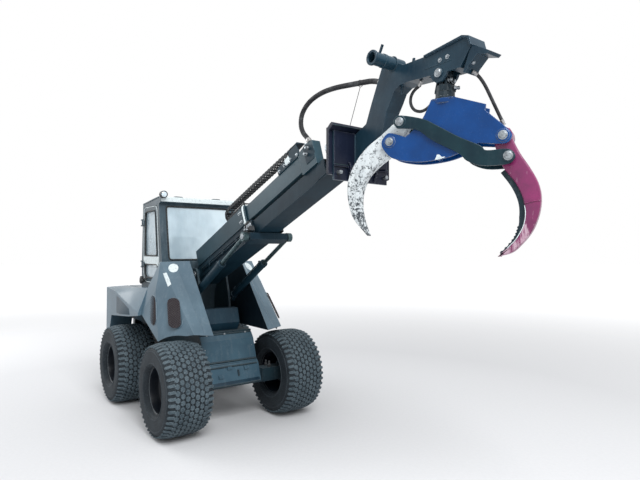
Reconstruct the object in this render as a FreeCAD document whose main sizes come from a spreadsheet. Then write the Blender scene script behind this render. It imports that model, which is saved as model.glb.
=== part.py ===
# Skid steer loader with a telescopic boom, a gooseneck jib and a two-tine log grapple.
# Millimetres. +X is forward, +Y is the machine's left, +Z is up, and the ground is Z = 0.
# Positions along X are written from the front axle; FrontAxleX moves them into the object's frame.
import FreeCAD, Part
import math
import os
import Sketcher

os.makedirs("parts", exist_ok=True)
doc = FreeCAD.newDocument("SkidSteerLoader")
sheet = doc.addObject("Spreadsheet::Sheet", "Sizes")
sheet_rows = []
pieces = []


# Driving dimensions
class Size(float):
    """A number that remembers the sheet cells it is worked out from."""

    def __new__(cls, value, text):
        number = float.__new__(cls, value)
        number.text = text
        return number

    def __add__(self, other):
        return Size(float(self) + float(other), f"({self.text} + {written(other)})")

    def __radd__(self, other):
        return Size(float(other) + float(self), f"({written(other)} + {self.text})")

    def __sub__(self, other):
        return Size(float(self) - float(other), f"({self.text} - {written(other)})")

    def __rsub__(self, other):
        return Size(float(other) - float(self), f"({written(other)} - {self.text})")

    def __mul__(self, other):
        return Size(float(self) * float(other), f"({self.text} * {written(other)})")

    def __rmul__(self, other):
        return Size(float(other) * float(self), f"({written(other)} * {self.text})")

    def __truediv__(self, other):
        return Size(float(self) / float(other), f"({self.text} / {written(other)})")

    def __neg__(self):
        return Size(-float(self), f"(-{self.text})")


def written(number):
    """The number's sheet expression, or its plain value where it has none."""
    return number.text if isinstance(number, Size) else repr(float(number))


def size(alias, value, meaning):
    """Put one driving dimension into the sheet under its alias."""
    row = len(sheet_rows) + 1
    sheet.set(f"A{row}", meaning)
    sheet.set(f"B{row}", str(value))
    sheet.setAlias(f"B{row}", alias)
    sheet_rows.append(alias)
    return Size(value, f"Sizes.{alias}")


front_axle_x = size("FrontAxleX", -500.57, "front axle along X in the object's frame")
wheelbase = size("Wheelbase", 1301, "front axle to rear axle")
track = size("Track", 1122, "between the middles of the left and right tyres")
tyre_diameter = size("TyreDiameter", 787, "outer diameter of a tyre")
tyre_width = size("TyreWidth", 391, "width of a tyre")
rim_diameter = size("RimDiameter", 381, "bead seat diameter of a rim")
running_gap = size("RunningGap", 0.3, "between faces that turn or slide past each other")
shaft_gap = size("ShaftGap", 0.08, "radial clearance of a shaft in its bore")
spindle_radius = size("SpindleRadius", 34, "wheel spindle")
frame_width = size("FrameWidth", 540, "chassis tub across its side plates")
frame_plate = size("FramePlate", 14, "chassis side plate")
frame_floor = size("FrameFloor", 330, "underside of the chassis tub")
deck_height = size("DeckHeight", 800, "top of the chassis tub")
ledge_height = size("LedgeHeight", 775, "lip above the sloped front panel")
sheet_metal = size("SheetMetal", 6, "body panels")
tower_inner = size("TowerInner", 274, "inner face of a front tower from the middle")
tower_crease = size("TowerCrease", 351, "crease in a tower's front face, from the middle")
tower_ridge = size("TowerRidge", 440, "ridge between a tower's front and side faces, from the middle")
shoulder_half = size("ShoulderHalf", 560, "upper edge of a tower's side panel from the middle")
skirt_half = size("SkirtHalf", 620, "lower edge of a tower's side panel from the middle")
box_half = size("BoxHalf", 650, "outer face of the rear side boxes from the middle")
tower_top = size("TowerTop", 1463, "top of the towers")
shoulder_height = size("ShoulderHeight", 1198, "top of the side panels")
box_top = size("BoxTop", 1165, "top of the rear side boxes and of the engine cover")
cab_front = size("CabFront", -705, "front wall of the cab below the windshield")
cab_rear = size("CabRear", -1305, "rear wall of the cab")
cab_width = size("CabWidth", 840, "cab across its side walls")
cab_wall = size("CabWall", 30, "cab wall and pillar thickness")
cab_floor = size("CabFloor", 800, "underside of the cab floor")
sill_height = size("SillHeight", 1450, "lower edge of the windshield")
header_height = size("HeaderHeight", 2030, "upper edge of the windshield")
roof_height = size("RoofHeight", 2105, "top of the cab roof")
door_bottom = size("DoorBottom", 1232, "lower edge of the cab door")
rear_end = size("RearEnd", -1790, "rear end of the body")
boom_x = size("BoomX", -600, "boom datum along X")
boom_z = size("BoomZ", 1385, "boom datum above the ground")
boom_angle = size("BoomAngle", 21.8, "boom above the horizontal as it stands, degrees")
boom_width = size("BoomWidth", 228, "outer boom box")
boom_roof = size("BoomRoof", -11, "top of the outer boom box from the boom datum line")
boom_depth = size("BoomDepth", 146, "height of the outer boom box")
boom_plate = size("BoomPlate", 8, "plate of the boom boxes")
boom_slack = size("BoomSlack", 6, "between the inner and outer boom boxes")
boom_mouth = size("BoomMouth", 1190, "front end of the outer boom box along the boom")
inner_heel = size("InnerHeel", 870, "rear end of the inner boom box along the boom")
rail_y = size("RailY", -80, "middle of the levelling rail from the middle of the machine")
rail_width = size("RailWidth", 84, "outer rail box")
rail_depth = size("RailDepth", 158, "height of the outer rail box")
pivot_along = size("PivotAlong", 50, "boom pivot along the boom")
pivot_drop = size("PivotDrop", 84, "boom pivot below the boom datum line")
pivot_radius = size("PivotRadius", 28, "boom pivot pin")
lift_y = size("LiftY", 212, "lift cylinder from the middle of the machine")
lift_base_x = size("LiftBaseX", -450, "lift cylinder's base eye along X")
lift_base_z = size("LiftBaseZ", 1096, "lift cylinder's base eye above the ground")
lift_eye_along = size("LiftEyeAlong", 1200, "lift rod's eye along the boom")
lift_eye_drop = size("LiftEyeDrop", 129, "lift rod's eye below the boom datum line")
lift_barrel_radius = size("LiftBarrelRadius", 33, "lift cylinder barrel")
lift_rod_radius = size("LiftRodRadius", 18, "lift cylinder rod")
plate_along = size("PlateAlong", 2330, "tilt pivot along the boom")
head_setback = size("HeadSetback", 105, "front end of the inner boom box behind the tilt pivot")
boom_head = plate_along - head_setback
plate_drop = size("PlateDrop", 5, "tilt pivot below the boom datum line")
plate_half = size("PlateHalf", 260, "half width of the quick-attach plate")
hanger_reach = size("HangerReach", 869, "hanger pin ahead of the tilt pivot")
hanger_rise = size("HangerRise", 273, "hanger pin above the tilt pivot")
grapple_yaw = size("GrappleYaw", 24, "grapple turned about the vertical, degrees")
grapple_drop = size("GrappleDrop", 140, "rotator's underside below the hanger pin")


# Helpers for sketches and features
def new_body(label):
    body = doc.addObject("PartDesign::Body", label)
    body.Label = label
    return body


def bind(item, name, number):
    """Set a length of an object by an expression on the sheet."""
    item.setExpression(name, written(number))


def fix(sketch, direction, geometry, point, number):
    """Hold one end of a sketch line at a coordinate that comes from the sheet."""
    if float(number) == 0.0:
        axis = -2 if direction == "DistanceX" else -1
        sketch.addConstraint(Sketcher.Constraint("PointOnObject", geometry, point, axis))
        return
    row = sketch.addConstraint(
        Sketcher.Constraint(direction, -1, 1, geometry, point, float(number)))
    if isinstance(number, Size):
        sketch.setExpression(f"Constraints[{row}]", number.text)


def new_sketch(body, role, at):
    """A sketch on one of the body's origin planes, moved along the plane's axis to a coordinate."""
    sketch = body.newObject("Sketcher::SketchObject", body.Label + "_sketch")
    plane = next(item for item in body.Origin.OriginFeatures if item.Role == role)
    sketch.AttachmentSupport = [(plane, "")]
    sketch.MapMode = "FlatFace"
    away = -at if role == "XZ_Plane" else at
    sketch.setExpression("AttachmentOffset.Base.z", written(away))
    return sketch


def outline(sketch, corners):
    """A closed outline of straight lines whose corners are held by the sheet."""
    count = len(corners)
    points = [FreeCAD.Vector(float(across), float(up), 0) for across, up in corners]
    first = sketch.GeometryCount
    for step in range(count):
        line = Part.LineSegment(points[step], points[(step + 1) % count])
        sketch.addGeometry(line, False)
    for step in range(count):
        following = first + (step + 1) % count
        sketch.addConstraint(Sketcher.Constraint("Coincident", first + step, 2, following, 1))
    for step, (across, up) in enumerate(corners):
        fix(sketch, "DistanceX", first + step, 1, across)
        fix(sketch, "DistanceY", first + step, 1, up)


def ring(sketch, across, up, radius):
    """A circle whose middle and radius are held by the sheet."""
    middle = FreeCAD.Vector(float(across), float(up), 0)
    circle = sketch.addGeometry(Part.Circle(middle, FreeCAD.Vector(0, 0, 1), float(radius)), False)
    fix(sketch, "DistanceX", circle, 3, across)
    fix(sketch, "DistanceY", circle, 3, up)
    row = sketch.addConstraint(Sketcher.Constraint("Radius", circle, float(radius)))
    if isinstance(radius, Size):
        sketch.setExpression(f"Constraints[{row}]", radius.text)


def extrude(body, kind, role, length, at, corners=None, rings=None):
    """Pad or pocket outlines both ways from a plane at a coordinate."""
    sketch = new_sketch(body, role, at)
    if corners:
        outline(sketch, corners)
    for across, up, radius in rings or ():
        ring(sketch, across, up, radius)
    feature = body.newObject(kind, body.Label + "_feature")
    feature.Profile = sketch
    feature.SideType = "Symmetric"
    bind(feature, "Length", length)
    return feature


def pad(body, role, length, at, corners=None, rings=None):
    return extrude(body, "PartDesign::Pad", role, length, at, corners, rings)


def pocket(body, role, length, at, corners=None, rings=None):
    return extrude(body, "PartDesign::Pocket", role, length, at, corners, rings)


def box_corners(low_x, high_x, low_z, high_z):
    return [(low_x, low_z), (high_x, low_z), (high_x, high_z), (low_x, high_z)]


def turned(body, kind, corners):
    """Turn an outline of (radius, place along Y) corners about the Y axis."""
    sketch = new_sketch(body, "XY_Plane", 0.0)
    outline(sketch, corners)
    feature = body.newObject(kind, body.Label + "_turned")
    feature.Profile = sketch
    feature.ReferenceAxis = (sketch, ["V_Axis"])
    feature.Angle = 360.0
    return feature


def lofted(body, kind, sections):
    """A ruled loft through outlines on planes across Y: sections are (place on Y, corners)."""
    sketches = []
    for place_y, corners in sections:
        sketch = new_sketch(body, "XZ_Plane", place_y)
        outline(sketch, corners)
        sketches.append(sketch)
    feature = body.newObject(kind, body.Label + "_loft")
    feature.Profile = sketches[0]
    feature.Sections = sketches[1:]
    feature.Ruled = True
    return feature


hinge_pin = size("HingePin", 6, "door hinge pin radius")
knuckle = size("Knuckle", 46, "height of a door hinge's middle knuckle")


def upright_hinge(carrier, leaf, axis_x, axis_y, heights, arm, ear):
    """Knuckles with arms on a leaf, and pins between ears on its carrier; arm and ear are the
    outlines, seen from above, of the plates that reach from the hinge line to each of them."""
    ear_thick = 14.0
    for height in heights:
        pad(leaf, "XY_Plane", knuckle, height, rings=[(axis_x, axis_y, hinge_pin + 4.5)])
        pad(leaf, "XY_Plane", knuckle, height, corners=arm)
        pocket(leaf, "XY_Plane", knuckle + 4, height, rings=[(axis_x, axis_y, hinge_pin + shaft_gap)])
        for step in (-1, 1):
            middle = height + step * (knuckle / 2 + running_gap + ear_thick / 2)
            pad(carrier, "XY_Plane", ear_thick, middle, corners=ear)
        pad(carrier, "XY_Plane", knuckle + 2 * running_gap + ear_thick, height,
            rings=[(axis_x, axis_y, hinge_pin)])


def place(item, place_x=0.0, place_y=0.0, place_z=0.0, pitch=0.0, yaw=0.0):
    """Put a finished piece at its place; pitch lifts its nose, yaw turns it to the left."""
    turn = FreeCAD.Rotation(FreeCAD.Vector(0, 0, 1), float(yaw)).multiply(
        FreeCAD.Rotation(FreeCAD.Vector(0, -1, 0), float(pitch)))
    spot = FreeCAD.Vector(float(place_x + front_axle_x), float(place_y), float(place_z))
    item.Placement = FreeCAD.Placement(spot, turn)
    pieces.append(item)


def on_boom(item, place_y=0.0):
    """Put a piece that is drawn along the boom's own axes onto the machine."""
    place(item, boom_x, place_y, boom_z, pitch=boom_angle)


def boom_point(along, rise):
    """A point given along and square to the boom, in the machine's X and Z."""
    angle = math.radians(boom_angle)
    return (boom_x + along * math.cos(angle) - rise * math.sin(angle),
            boom_z + along * math.sin(angle) + rise * math.cos(angle))


SIDES = (("right", -1), ("left", 1))
ENDS = (("front", 0.0), ("rear", -wheelbase))
tyre_radius = tyre_diameter / 2
rim_radius = rim_diameter / 2


# Wheels: a turf tyre on a deep steel rim with a hub that runs on the motor's spindle. Tyre and rim
# are rings of flat facets about Y, with one corner of each ring straight down
wheel_facets = 36


def facet_ring(label, profile):
    """A ring of flat facets about Y from a closed profile of (place on Y, radius)."""
    turns = [2 * math.pi * step / wheel_facets for step in range(wheel_facets + 1)]
    faces = []
    for (place_a, radius_a), (place_b, radius_b) in zip(profile, profile[1:] + profile[:1]):
        for turn, following in zip(turns, turns[1:]):
            corners = [FreeCAD.Vector(float(radius) * math.cos(angle), float(at), float(radius) * math.sin(angle))
                       for at, radius, angle in ((place_a, radius_a, turn), (place_b, radius_b, turn),
                                                 (place_b, radius_b, following), (place_a, radius_a, following))]
            faces.append(Part.Face(Part.makePolygon(corners + corners[:1])))
    ring_piece = doc.addObject("Part::Feature", label)
    ring_piece.Label = label
    ring_solid = Part.Solid(Part.makeShell(faces))
    ring_solid.sewShape()
    ring_piece.Shape = Part.Solid(Part.Shell(ring_solid.Faces))
    if ring_piece.Shape.Volume < 0:
        ring_piece.Shape = ring_piece.Shape.reversed()
    return ring_piece


def bar_about_y(label, radius, low, high):
    """A round bar about Y between two places on it."""
    bar = doc.addObject("Part::Cylinder", label + "_bar")
    bind(bar, "Radius", radius)
    bind(bar, "Height", high - low)
    bar.Placement = FreeCAD.Placement(
        FreeCAD.Vector(0, float(low), 0), FreeCAD.Rotation(FreeCAD.Vector(1, 0, 0), -90))
    bar.setExpression("Placement.Base.y", written(low))
    return bar


def make_tyre(label):
    half = tyre_width / 2
    return facet_ring(label, [
        (-half * 0.66, rim_radius), (-half * 0.86, rim_radius + 34), (-half * 0.97, rim_radius + 80),
        (-half, rim_radius + 120), (-half * 0.97, tyre_radius - 50), (-half * 0.87, tyre_radius - 20),
        (-half * 0.62, tyre_radius - 4), (-half * 0.3, tyre_radius), (half * 0.3, tyre_radius),
        (half * 0.62, tyre_radius - 4), (half * 0.87, tyre_radius - 20), (half * 0.97, tyre_radius - 50),
        (half, rim_radius + 120), (half * 0.97, rim_radius + 80), (half * 0.86, rim_radius + 34),
        (half * 0.66, rim_radius)])


disc_out = size("DiscOut", 55, "wheel disc's outer face outside the tyre's middle")
disc_thick = size("DiscThick", 12, "wheel disc")
hub_length = size("HubLength", 90, "wheel hub along the spindle")
hub_radius = size("HubRadius", 62, "wheel hub")


def make_rim(label):
    """Drawn for the right side, where outside is towards -Y."""
    half = tyre_width / 2
    well = rim_radius - 7
    ring_piece = facet_ring(label + "_ring", [
        (-half * 0.81, rim_radius + 14), (-half * 0.76, rim_radius + 14), (-half * 0.67, rim_radius),
        (half * 0.67, rim_radius), (half * 0.76, rim_radius + 14), (half * 0.81, rim_radius + 14),
        (half * 0.81, well), (-disc_out + disc_thick, well), (-disc_out + disc_thick, hub_radius - 8),
        (-disc_out, hub_radius - 8), (-disc_out, well), (-half * 0.81, well)])
    fuse = doc.addObject("Part::Fuse", label + "_solid")
    fuse.Base = ring_piece
    fuse.Tool = bar_about_y(label, hub_radius, -disc_out, -disc_out + hub_length)
    cut = doc.addObject("Part::Cut", label)
    cut.Label = label
    cut.Base = fuse
    cut.Tool = bar_about_y(label, spindle_radius + shaft_gap, -disc_out - 10, -disc_out + hub_length + 10)
    return cut


for end, axle_x in ENDS:
    for side, sign in SIDES:
        for maker, kind in ((make_tyre, "tyre"), (make_rim, "rim")):
            wheel_piece = maker(f"{kind}_{end}_{side}")
            place(wheel_piece, axle_x, sign * track / 2, tyre_radius, yaw=0.0 if sign < 0 else 180.0)

# Wheel motors: a case bolted to the chassis with a flange and a spindle into each hub
motor_radius = size("MotorRadius", 95, "wheel motor flange")
motor_body = new_body("hub_motors")
for end, axle_x in ENDS:
    for side, sign in SIDES:
        hub_face = track / 2 + disc_out - hub_length - running_gap
        wall = frame_width / 2
        case_length = hub_face - wall - 30
        pad(motor_body, "XZ_Plane", case_length, sign * (wall + case_length / 2),
            corners=box_corners(axle_x - 62, axle_x + 62, tyre_radius - 62, tyre_radius + 62))
        pad(motor_body, "XZ_Plane", 30, sign * (hub_face - 15),
            rings=[(axle_x, tyre_radius, motor_radius)])
        pad(motor_body, "XZ_Plane", hub_length - 10, sign * (hub_face + (hub_length - 10) / 2),
            rings=[(axle_x, tyre_radius, spindle_radius)])
place(motor_body)

# Chassis tub: side plates, floor, a front plate that follows the front panel, and a rear plate
lip_x = size("LipX", -158, "ledge lip along X")
panel_knee_x = size("PanelKneeX", -55, "sloped panel's foot along X")
toe_x = size("ToeX", 44, "lower panel's foot along X")
front_line = [(toe_x, frame_floor), (-16.0, 500.0), (panel_knee_x, 539.0),
              (lip_x + 41, ledge_height - 50), (lip_x, ledge_height)]
tub = new_body("chassis_frame")
panel_thick = size("PanelThick", 8, "front panel plate")
pad(tub, "XZ_Plane", frame_width, 0.0, corners=(
    [(rear_end + 40, frame_floor + 90), (rear_end + 140, frame_floor)]
    + [(corner_x - panel_thick, corner_z) for corner_x, corner_z in front_line]
    + [(lip_x - panel_thick, deck_height), (rear_end + 40, deck_height)]))
pocket(tub, "XZ_Plane", frame_width - 2 * frame_plate, 0.0, corners=[
    (rear_end + 60, frame_floor + 100), (rear_end + 150, frame_floor + 12),
    (-100.0, frame_floor + 12), (-200.0, 640.0), (-240.0, deck_height + 10),
    (rear_end + 60, deck_height + 10)])
pad(tub, "XZ_Plane", frame_width, 0.0, corners=box_corners(
    cab_front - 20, lip_x - panel_thick - 2, deck_height - 12, deck_height))
place(tub)

# Front panel: one folded plate with a bolted ledge, a sloped face and a lower face
front = new_body("front_panel")
pad(front, "XZ_Plane", 2 * tower_inner - 10, 0.0, corners=(
    front_line + [(corner_x - panel_thick, corner_z) for corner_x, corner_z in reversed(front_line)]))
place(front)

# Front bulkhead: the valve cover that stands on the deck between the towers
bulkhead = new_body("front_bulkhead")
cover_width = size("ValveCoverWidth", 336, "valve cover between the towers")
pad(bulkhead, "XZ_Plane", cover_width, 0.0, corners=[
    (-330.0, deck_height), (-246.0, deck_height), (-203.0, 874.0), (-246.0, 1008.0), (-330.0, 1008.0)])
place(bulkhead)

# Fenders: each is a sheet tower, creased and leaning inwards, over its front wheel. The outline is
# drawn at five places across the machine: lower edge, crease, brow, and the rear edge's two ends
fender_sections = (
    (tower_inner, [(150.0, 827.0), (-375.0, tower_top), (-377.0, tower_top),
                   (cab_front, tower_top - 7), (cab_front, 827.0)]),
    (tower_crease, [(134.0, 835.0), (-547.0, tower_top - 7), (-549.0, tower_top - 7),
                    (cab_front, tower_top - 8), (cab_front, 836.0)]),
    (tower_ridge, [(115.0, 845.0), (113.0, 846.5), (-690.0, tower_top - 14),
                   (cab_front, tower_top - 11), (cab_front, 846.0)]),
    (shoulder_half, [(-122.0, 785.0), (-124.0, 787.0), (-478.0, shoulder_height - 3),
                     (cab_front, shoulder_height), (cab_front, 950.0)]),
    (skirt_half, [(-240.0, 755.0), (-241.0, 757.0), (-246.0, 766.0),
                  (cab_front, 968.0), (cab_front, 956.0)]))
front_arch = size("FrontArch", 436, "front wheel arch")
grille_centres = ((-195.0, 1000.0, 84.0, 132.0), (-442.0, 1010.0, 74.0, 128.0))


def oval(centre_x, centre_z, half_wide, half_tall, count=20):
    """Corners of a long oval: two half circles joined by straight sides."""
    corners = []
    for step in range(count):
        turn = 2 * math.pi * (step + 0.5) / count
        lift = half_tall - half_wide if math.sin(turn) > 0 else half_wide - half_tall
        corners.append((centre_x + half_wide * math.cos(turn), centre_z + half_wide * math.sin(turn) + lift))
    return corners


for side, sign in SIDES:
    fender = new_body(f"fender_{side}")
    outside = []
    inside = []
    for place_y, corners in fender_sections:
        outside.append((sign * place_y, corners))
        shift_in = {tower_inner: sheet_metal, skirt_half: -2.0}.get(place_y, 0.0)
        (low_x, low_z), (crease_x, crease_z), (brow_x, brow_z), (top_x, top_z), (rear_x, rear_z) = corners
        inside.append((sign * (place_y + shift_in), [
            (low_x - 14, low_z - 26), (crease_x - 12, crease_z - 14), (brow_x - 14, brow_z - 14),
            (top_x + 8, top_z - 12), (rear_x + 8, rear_z - 26)]))
    lofted(fender, "PartDesign::AdditiveLoft", outside)
    lofted(fender, "PartDesign::SubtractiveLoft", inside)
    pocket(fender, "XZ_Plane", 500, sign * (tower_inner + 20 + 250), rings=[(0.0, tyre_radius, front_arch)])
    for centre_x, centre_z, half_wide, half_tall in grille_centres:
        pocket(fender, "XZ_Plane", 260, sign * (tower_ridge + 130 - 50),
               corners=oval(centre_x, centre_z, half_wide, half_tall))
    place(fender)

# Side boxes: sheet boxes beside the cab, bevelled along the top and raised over the rear wheels
box_sections = (
    (cab_width / 2, [(cab_front, 930.0), (cab_front, shoulder_height), (-900.0, shoulder_height - 4),
                     (-1470.0, box_top), (rear_end, box_top), (rear_end, 630.0), (-1695.0, 630.0),
                     (-1600.0, 860.0), (-1000.0, 905.0)]),
    (shoulder_half, [(cab_front, 950.0), (cab_front, shoulder_height), (-890.0, shoulder_height - 4),
                     (-1470.0, box_top - 4), (rear_end, box_top - 4), (rear_end, 630.0), (-1695.0, 630.0),
                     (-1600.0, 860.0), (-1000.0, 905.0)]),
    (box_half, [(cab_front, 940.0), (cab_front, 965.0), (-890.0, 1002.0), (-1470.0, box_top - 34),
                (rear_end, box_top - 10), (rear_end, 630.0), (-1695.0, 630.0),
                (-1600.0, 860.0), (-1000.0, 905.0)]))
for side, sign in SIDES:
    side_box = new_body(f"side_box_{side}")
    lofted(side_box, "PartDesign::AdditiveLoft",
           [(sign * place_y, corners) for place_y, corners in box_sections])
    place(side_box)

# Engine: one plain block in the rear of the tub
engine = new_body("engine_block")
pad(engine, "XZ_Plane", 420, 0.0,
    corners=box_corners(rear_end + 160, rear_end + 640, frame_floor + 12, deck_height - 20))
place(engine)

# Engine hood: a sloped cover behind the cab, open at the back for the rear door
hood_width = size("HoodWidth", 800, "engine hood")
hood = new_body("engine_hood")
pad(hood, "XZ_Plane", hood_width, 0.0, corners=[
    (rear_end, deck_height), (cab_rear - 4, deck_height), (cab_rear - 4, box_top), (rear_end, box_top)])
pocket(hood, "XZ_Plane", hood_width - 2 * sheet_metal, 0.0, corners=[
    (rear_end - 10, deck_height - 10), (cab_rear - 14, deck_height - 10), (cab_rear - 14, box_top - sheet_metal),
    (rear_end - 10, box_top - sheet_metal)])
place(hood)

# Rear bumper: the counterweight casting under the rear door
bumper = new_body("rear_bumper")
pad(bumper, "XZ_Plane", 700, 0.0, corners=[
    (rear_end - 20, 470.0), (rear_end + 40, 430.0), (rear_end + 40, deck_height - 6),
    (rear_end - 20, deck_height - 6)])
hitch_reach = size("HitchReach", 95, "tow hitch's ears behind the body")
hitch_bore = size("HitchBore", 13, "tow hitch's bore radius")
hitch_low = size("HitchLow", 540, "underside of the tow hitch")
hitch_height = size("HitchHeight", 80, "tow hitch from its lower face to its upper face")
hitch_ear = size("HitchEar", 16, "one ear of the tow hitch")
for ear_low in (hitch_low, hitch_low + hitch_height - hitch_ear):
    pad(bumper, "XY_Plane", hitch_ear, ear_low + hitch_ear / 2,
        corners=[(rear_end - hitch_reach, -30.0), (rear_end + 10, -60.0), (rear_end + 10, 60.0),
                 (rear_end - hitch_reach, 30.0)])
pocket(bumper, "XY_Plane", hitch_height + 40, hitch_low + hitch_height / 2,
       rings=[(rear_end - hitch_reach + 34, 0.0, hitch_bore)])
place(bumper)

# Rear door: a sheet door with a grille, hinged on its left edge
rear_door = new_body("rear_door")
rear_door_x = rear_end - 15
pad(rear_door, "YZ_Plane", 20, rear_door_x, corners=box_corners(-390.0, 390.0, deck_height + 6, box_top - 4))
grille_rows = 6
for row in range(grille_rows):
    slot_z = deck_height + 80 + row * 40
    pocket(rear_door, "YZ_Plane", 40, rear_door_x, corners=box_corners(-270.0, 270.0, slot_z, slot_z + 20))
upright_hinge(hood, rear_door, rear_door_x, hood_width / 2 + 4, (900.0, 1090.0),
              arm=[(rear_door_x - 7, hood_width / 2 - 12), (rear_door_x + 7, hood_width / 2 - 12),
                   (rear_door_x + 7, hood_width / 2 + 4), (rear_door_x - 7, hood_width / 2 + 4)],
              ear=[(rear_door_x - 7, hood_width / 2 - 4), (rear_end + 8, hood_width / 2 - 4),
                   (rear_end + 8, hood_width / 2 + 13), (rear_door_x - 7, hood_width / 2 + 13)])
place(rear_door)

# Cab shell: a hollow cab with its windows and door opening cut
cab = new_body("cab_shell")
lean = 100
pad(cab, "XZ_Plane", cab_width, 0.0, corners=[
    (cab_rear, cab_floor), (cab_front - 4, cab_floor), (cab_front - 4, sill_height),
    (cab_front - lean, header_height), (cab_front - lean - 4, roof_height),
    (cab_rear + 30, roof_height - 40), (cab_rear, sill_height)])
pocket(cab, "XZ_Plane", cab_width - 2 * cab_wall, 0.0, corners=[
    (cab_rear + cab_wall, cab_floor + 20), (cab_front - cab_wall, cab_floor + 20),
    (cab_front - cab_wall, sill_height), (cab_front - lean - cab_wall, header_height),
    (cab_rear + 30 + cab_wall, header_height - 35), (cab_rear + cab_wall, sill_height)])
visor_reach = size("VisorReach", 62, "roof's visor ahead of the windshield's upper edge")
pad(cab, "XZ_Plane", cab_width, 0.0, corners=[
    (cab_front - lean - 40, header_height + 2), (cab_front - lean, header_height + 2),
    (cab_front - lean + visor_reach - 8, header_height + 20), (cab_front - lean + visor_reach, roof_height - 16),
    (cab_front - lean + visor_reach - 16, roof_height - 3), (cab_front - lean - 4, roof_height),
    (cab_front - lean - 40, roof_height - 10)])
window_half = size("WindowHalf", 345, "half width of the windshield opening")
pocket(cab, "YZ_Plane", 260, cab_front - 60, corners=box_corners(
    -window_half, window_half, sill_height + 20, header_height - 20))
pocket(cab, "YZ_Plane", 140, cab_rear, corners=box_corners(
    -window_half, window_half, sill_height + 20, header_height - 70))
place(cab)
pane = size("Pane", 6, "glass")
door_front = cab_front - 70
door_rear = cab_rear + 60
door_top = header_height - 10
door_line = [(door_rear + 60, door_bottom), (door_front - 20, door_bottom), (door_front, sill_height),
             (door_front - 75, door_top), (door_rear, door_top), (door_rear, door_bottom + 70)]
pocket(cab, "XZ_Plane", cab_wall + 20, -(cab_width - cab_wall) / 2, corners=door_line)
left_window = [(door_rear, sill_height + 20), (door_front - 25, sill_height + 20),
               (door_front - 85, door_top - 20), (door_rear, door_top - 20)]
pocket(cab, "XZ_Plane", cab_wall + 20, (cab_width - cab_wall) / 2, corners=left_window)

# Glass: the windshield, and the rear and left windows, each seated in its opening
windshield = new_body("windshield")
glass_line = [(cab_front - 12, sill_height + 20), (cab_front - 12 - pane, sill_height + 20),
              (cab_front - 104 - pane, header_height - 20), (cab_front - 104, header_height - 20)]
pad(windshield, "XZ_Plane", 2 * window_half, 0.0, corners=glass_line)
place(windshield)
windows = new_body("cab_windows")
pad(windows, "YZ_Plane", pane, cab_rear + 20, corners=box_corners(
    -window_half, window_half, sill_height + 20, header_height - 70))
pad(windows, "XZ_Plane", pane, (cab_width - cab_wall) / 2, corners=left_window)
place(windows)

# Cab door: a frame with an upper and a lower window, hinged on its rear edge
door_gap = size("DoorGap", 6, "around the cab door")
door = new_body("cab_door")
door_y = -(cab_width - cab_wall) / 2
door_outline = [(door_rear + 60 + door_gap, door_bottom + door_gap),
                (door_front - 22 - door_gap, door_bottom + door_gap),
                (door_front - door_gap, sill_height), (door_front - 75 - door_gap, door_top - door_gap),
                (door_rear + door_gap, door_top - door_gap), (door_rear + door_gap, door_bottom + 74)]
pad(door, "XZ_Plane", cab_wall, door_y, corners=door_outline)
upper_window = [(door_rear + 50, sill_height + 60), (door_front - 62, sill_height + 60),
                (door_front - 125, door_top - 50), (door_rear + 50, door_top - 50)]
lower_window = [(door_rear + 90, door_bottom + 50), (door_front - 65, door_bottom + 50),
                (door_front - 50, sill_height), (door_rear + 50, sill_height), (door_rear + 50, door_bottom + 90)]
for window in (upper_window, lower_window):
    pocket(door, "XZ_Plane", cab_wall + 20, door_y, corners=window)
hinge_x = door_rear - 4
hinge_y = -cab_width / 2 - 12
upright_hinge(cab, door, hinge_x, hinge_y, (1420.0, 1860.0),
              arm=[(hinge_x, hinge_y - 4), (hinge_x + 52, hinge_y - 4), (hinge_x + 52, -cab_width / 2 + 2),
                   (door_rear + door_gap + 3, -cab_width / 2 + 2), (door_rear + door_gap + 3, hinge_y + 4),
                   (hinge_x, hinge_y + 4)],
              ear=[(hinge_x - 50, hinge_y - 4), (hinge_x + 8, hinge_y - 4), (hinge_x + 8, hinge_y + 4),
                   (hinge_x - 10, hinge_y + 4), (hinge_x - 14, -cab_width / 2 + 2),
                   (hinge_x - 50, -cab_width / 2 + 2)])
place(door)
door_glass = new_body("door_glass")
for window in (upper_window, lower_window):
    pad(door_glass, "XZ_Plane", pane, door_y, corners=window)
place(door_glass)

# Seat: a cushion and a backrest on a base, and the two lever consoles beside it
seat = new_body("seat")
pad(seat, "XZ_Plane", 440, 0.0, corners=[
    (-1245.0, 1190.0), (-880.0, 1210.0), (-870.0, 1290.0), (-1140.0, 1290.0), (-1185.0, 1720.0),
    (-1262.0, 1720.0)])
pad(seat, "XZ_Plane", 360, 0.0, corners=box_corners(-1240.0, -930.0, cab_floor + 20, 1202.0))
place(seat)
levers = new_body("control_levers")
for side, sign in SIDES:
    pad(levers, "XZ_Plane", 90, sign * 290.0, corners=[
        (-1200.0, cab_floor + 20), (-880.0, cab_floor + 20), (-850.0, 1400.0), (-1200.0, 1400.0)])
    pad(levers, "XY_Plane", 150, 1470.0, rings=[(-900.0, sign * 290.0, 16.0)])
place(levers)

# Work lamp on the cab's front right corner, and the filler cap low on its rear corner
lamp = new_body("work_lamp")
pad(lamp, "YZ_Plane", 46, cab_front - 14, rings=[(-405.0, roof_height + 12, 34.0)])
pad(lamp, "XZ_Plane", 12, -405.0, corners=[
    (cab_front - 85, roof_height - 1.0), (cab_front - 57, roof_height - 2.7), (cab_front - 33, roof_height + 7),
    (cab_front - 33, roof_height + 19), (cab_front - 85, roof_height + 19)])
place(lamp)
cap = new_body("filler_cap")
pad(cap, "XZ_Plane", 24, -(cab_width / 2 + 12), rings=[(-1262.0, 1262.0, 30.0)])
place(cap)

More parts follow.
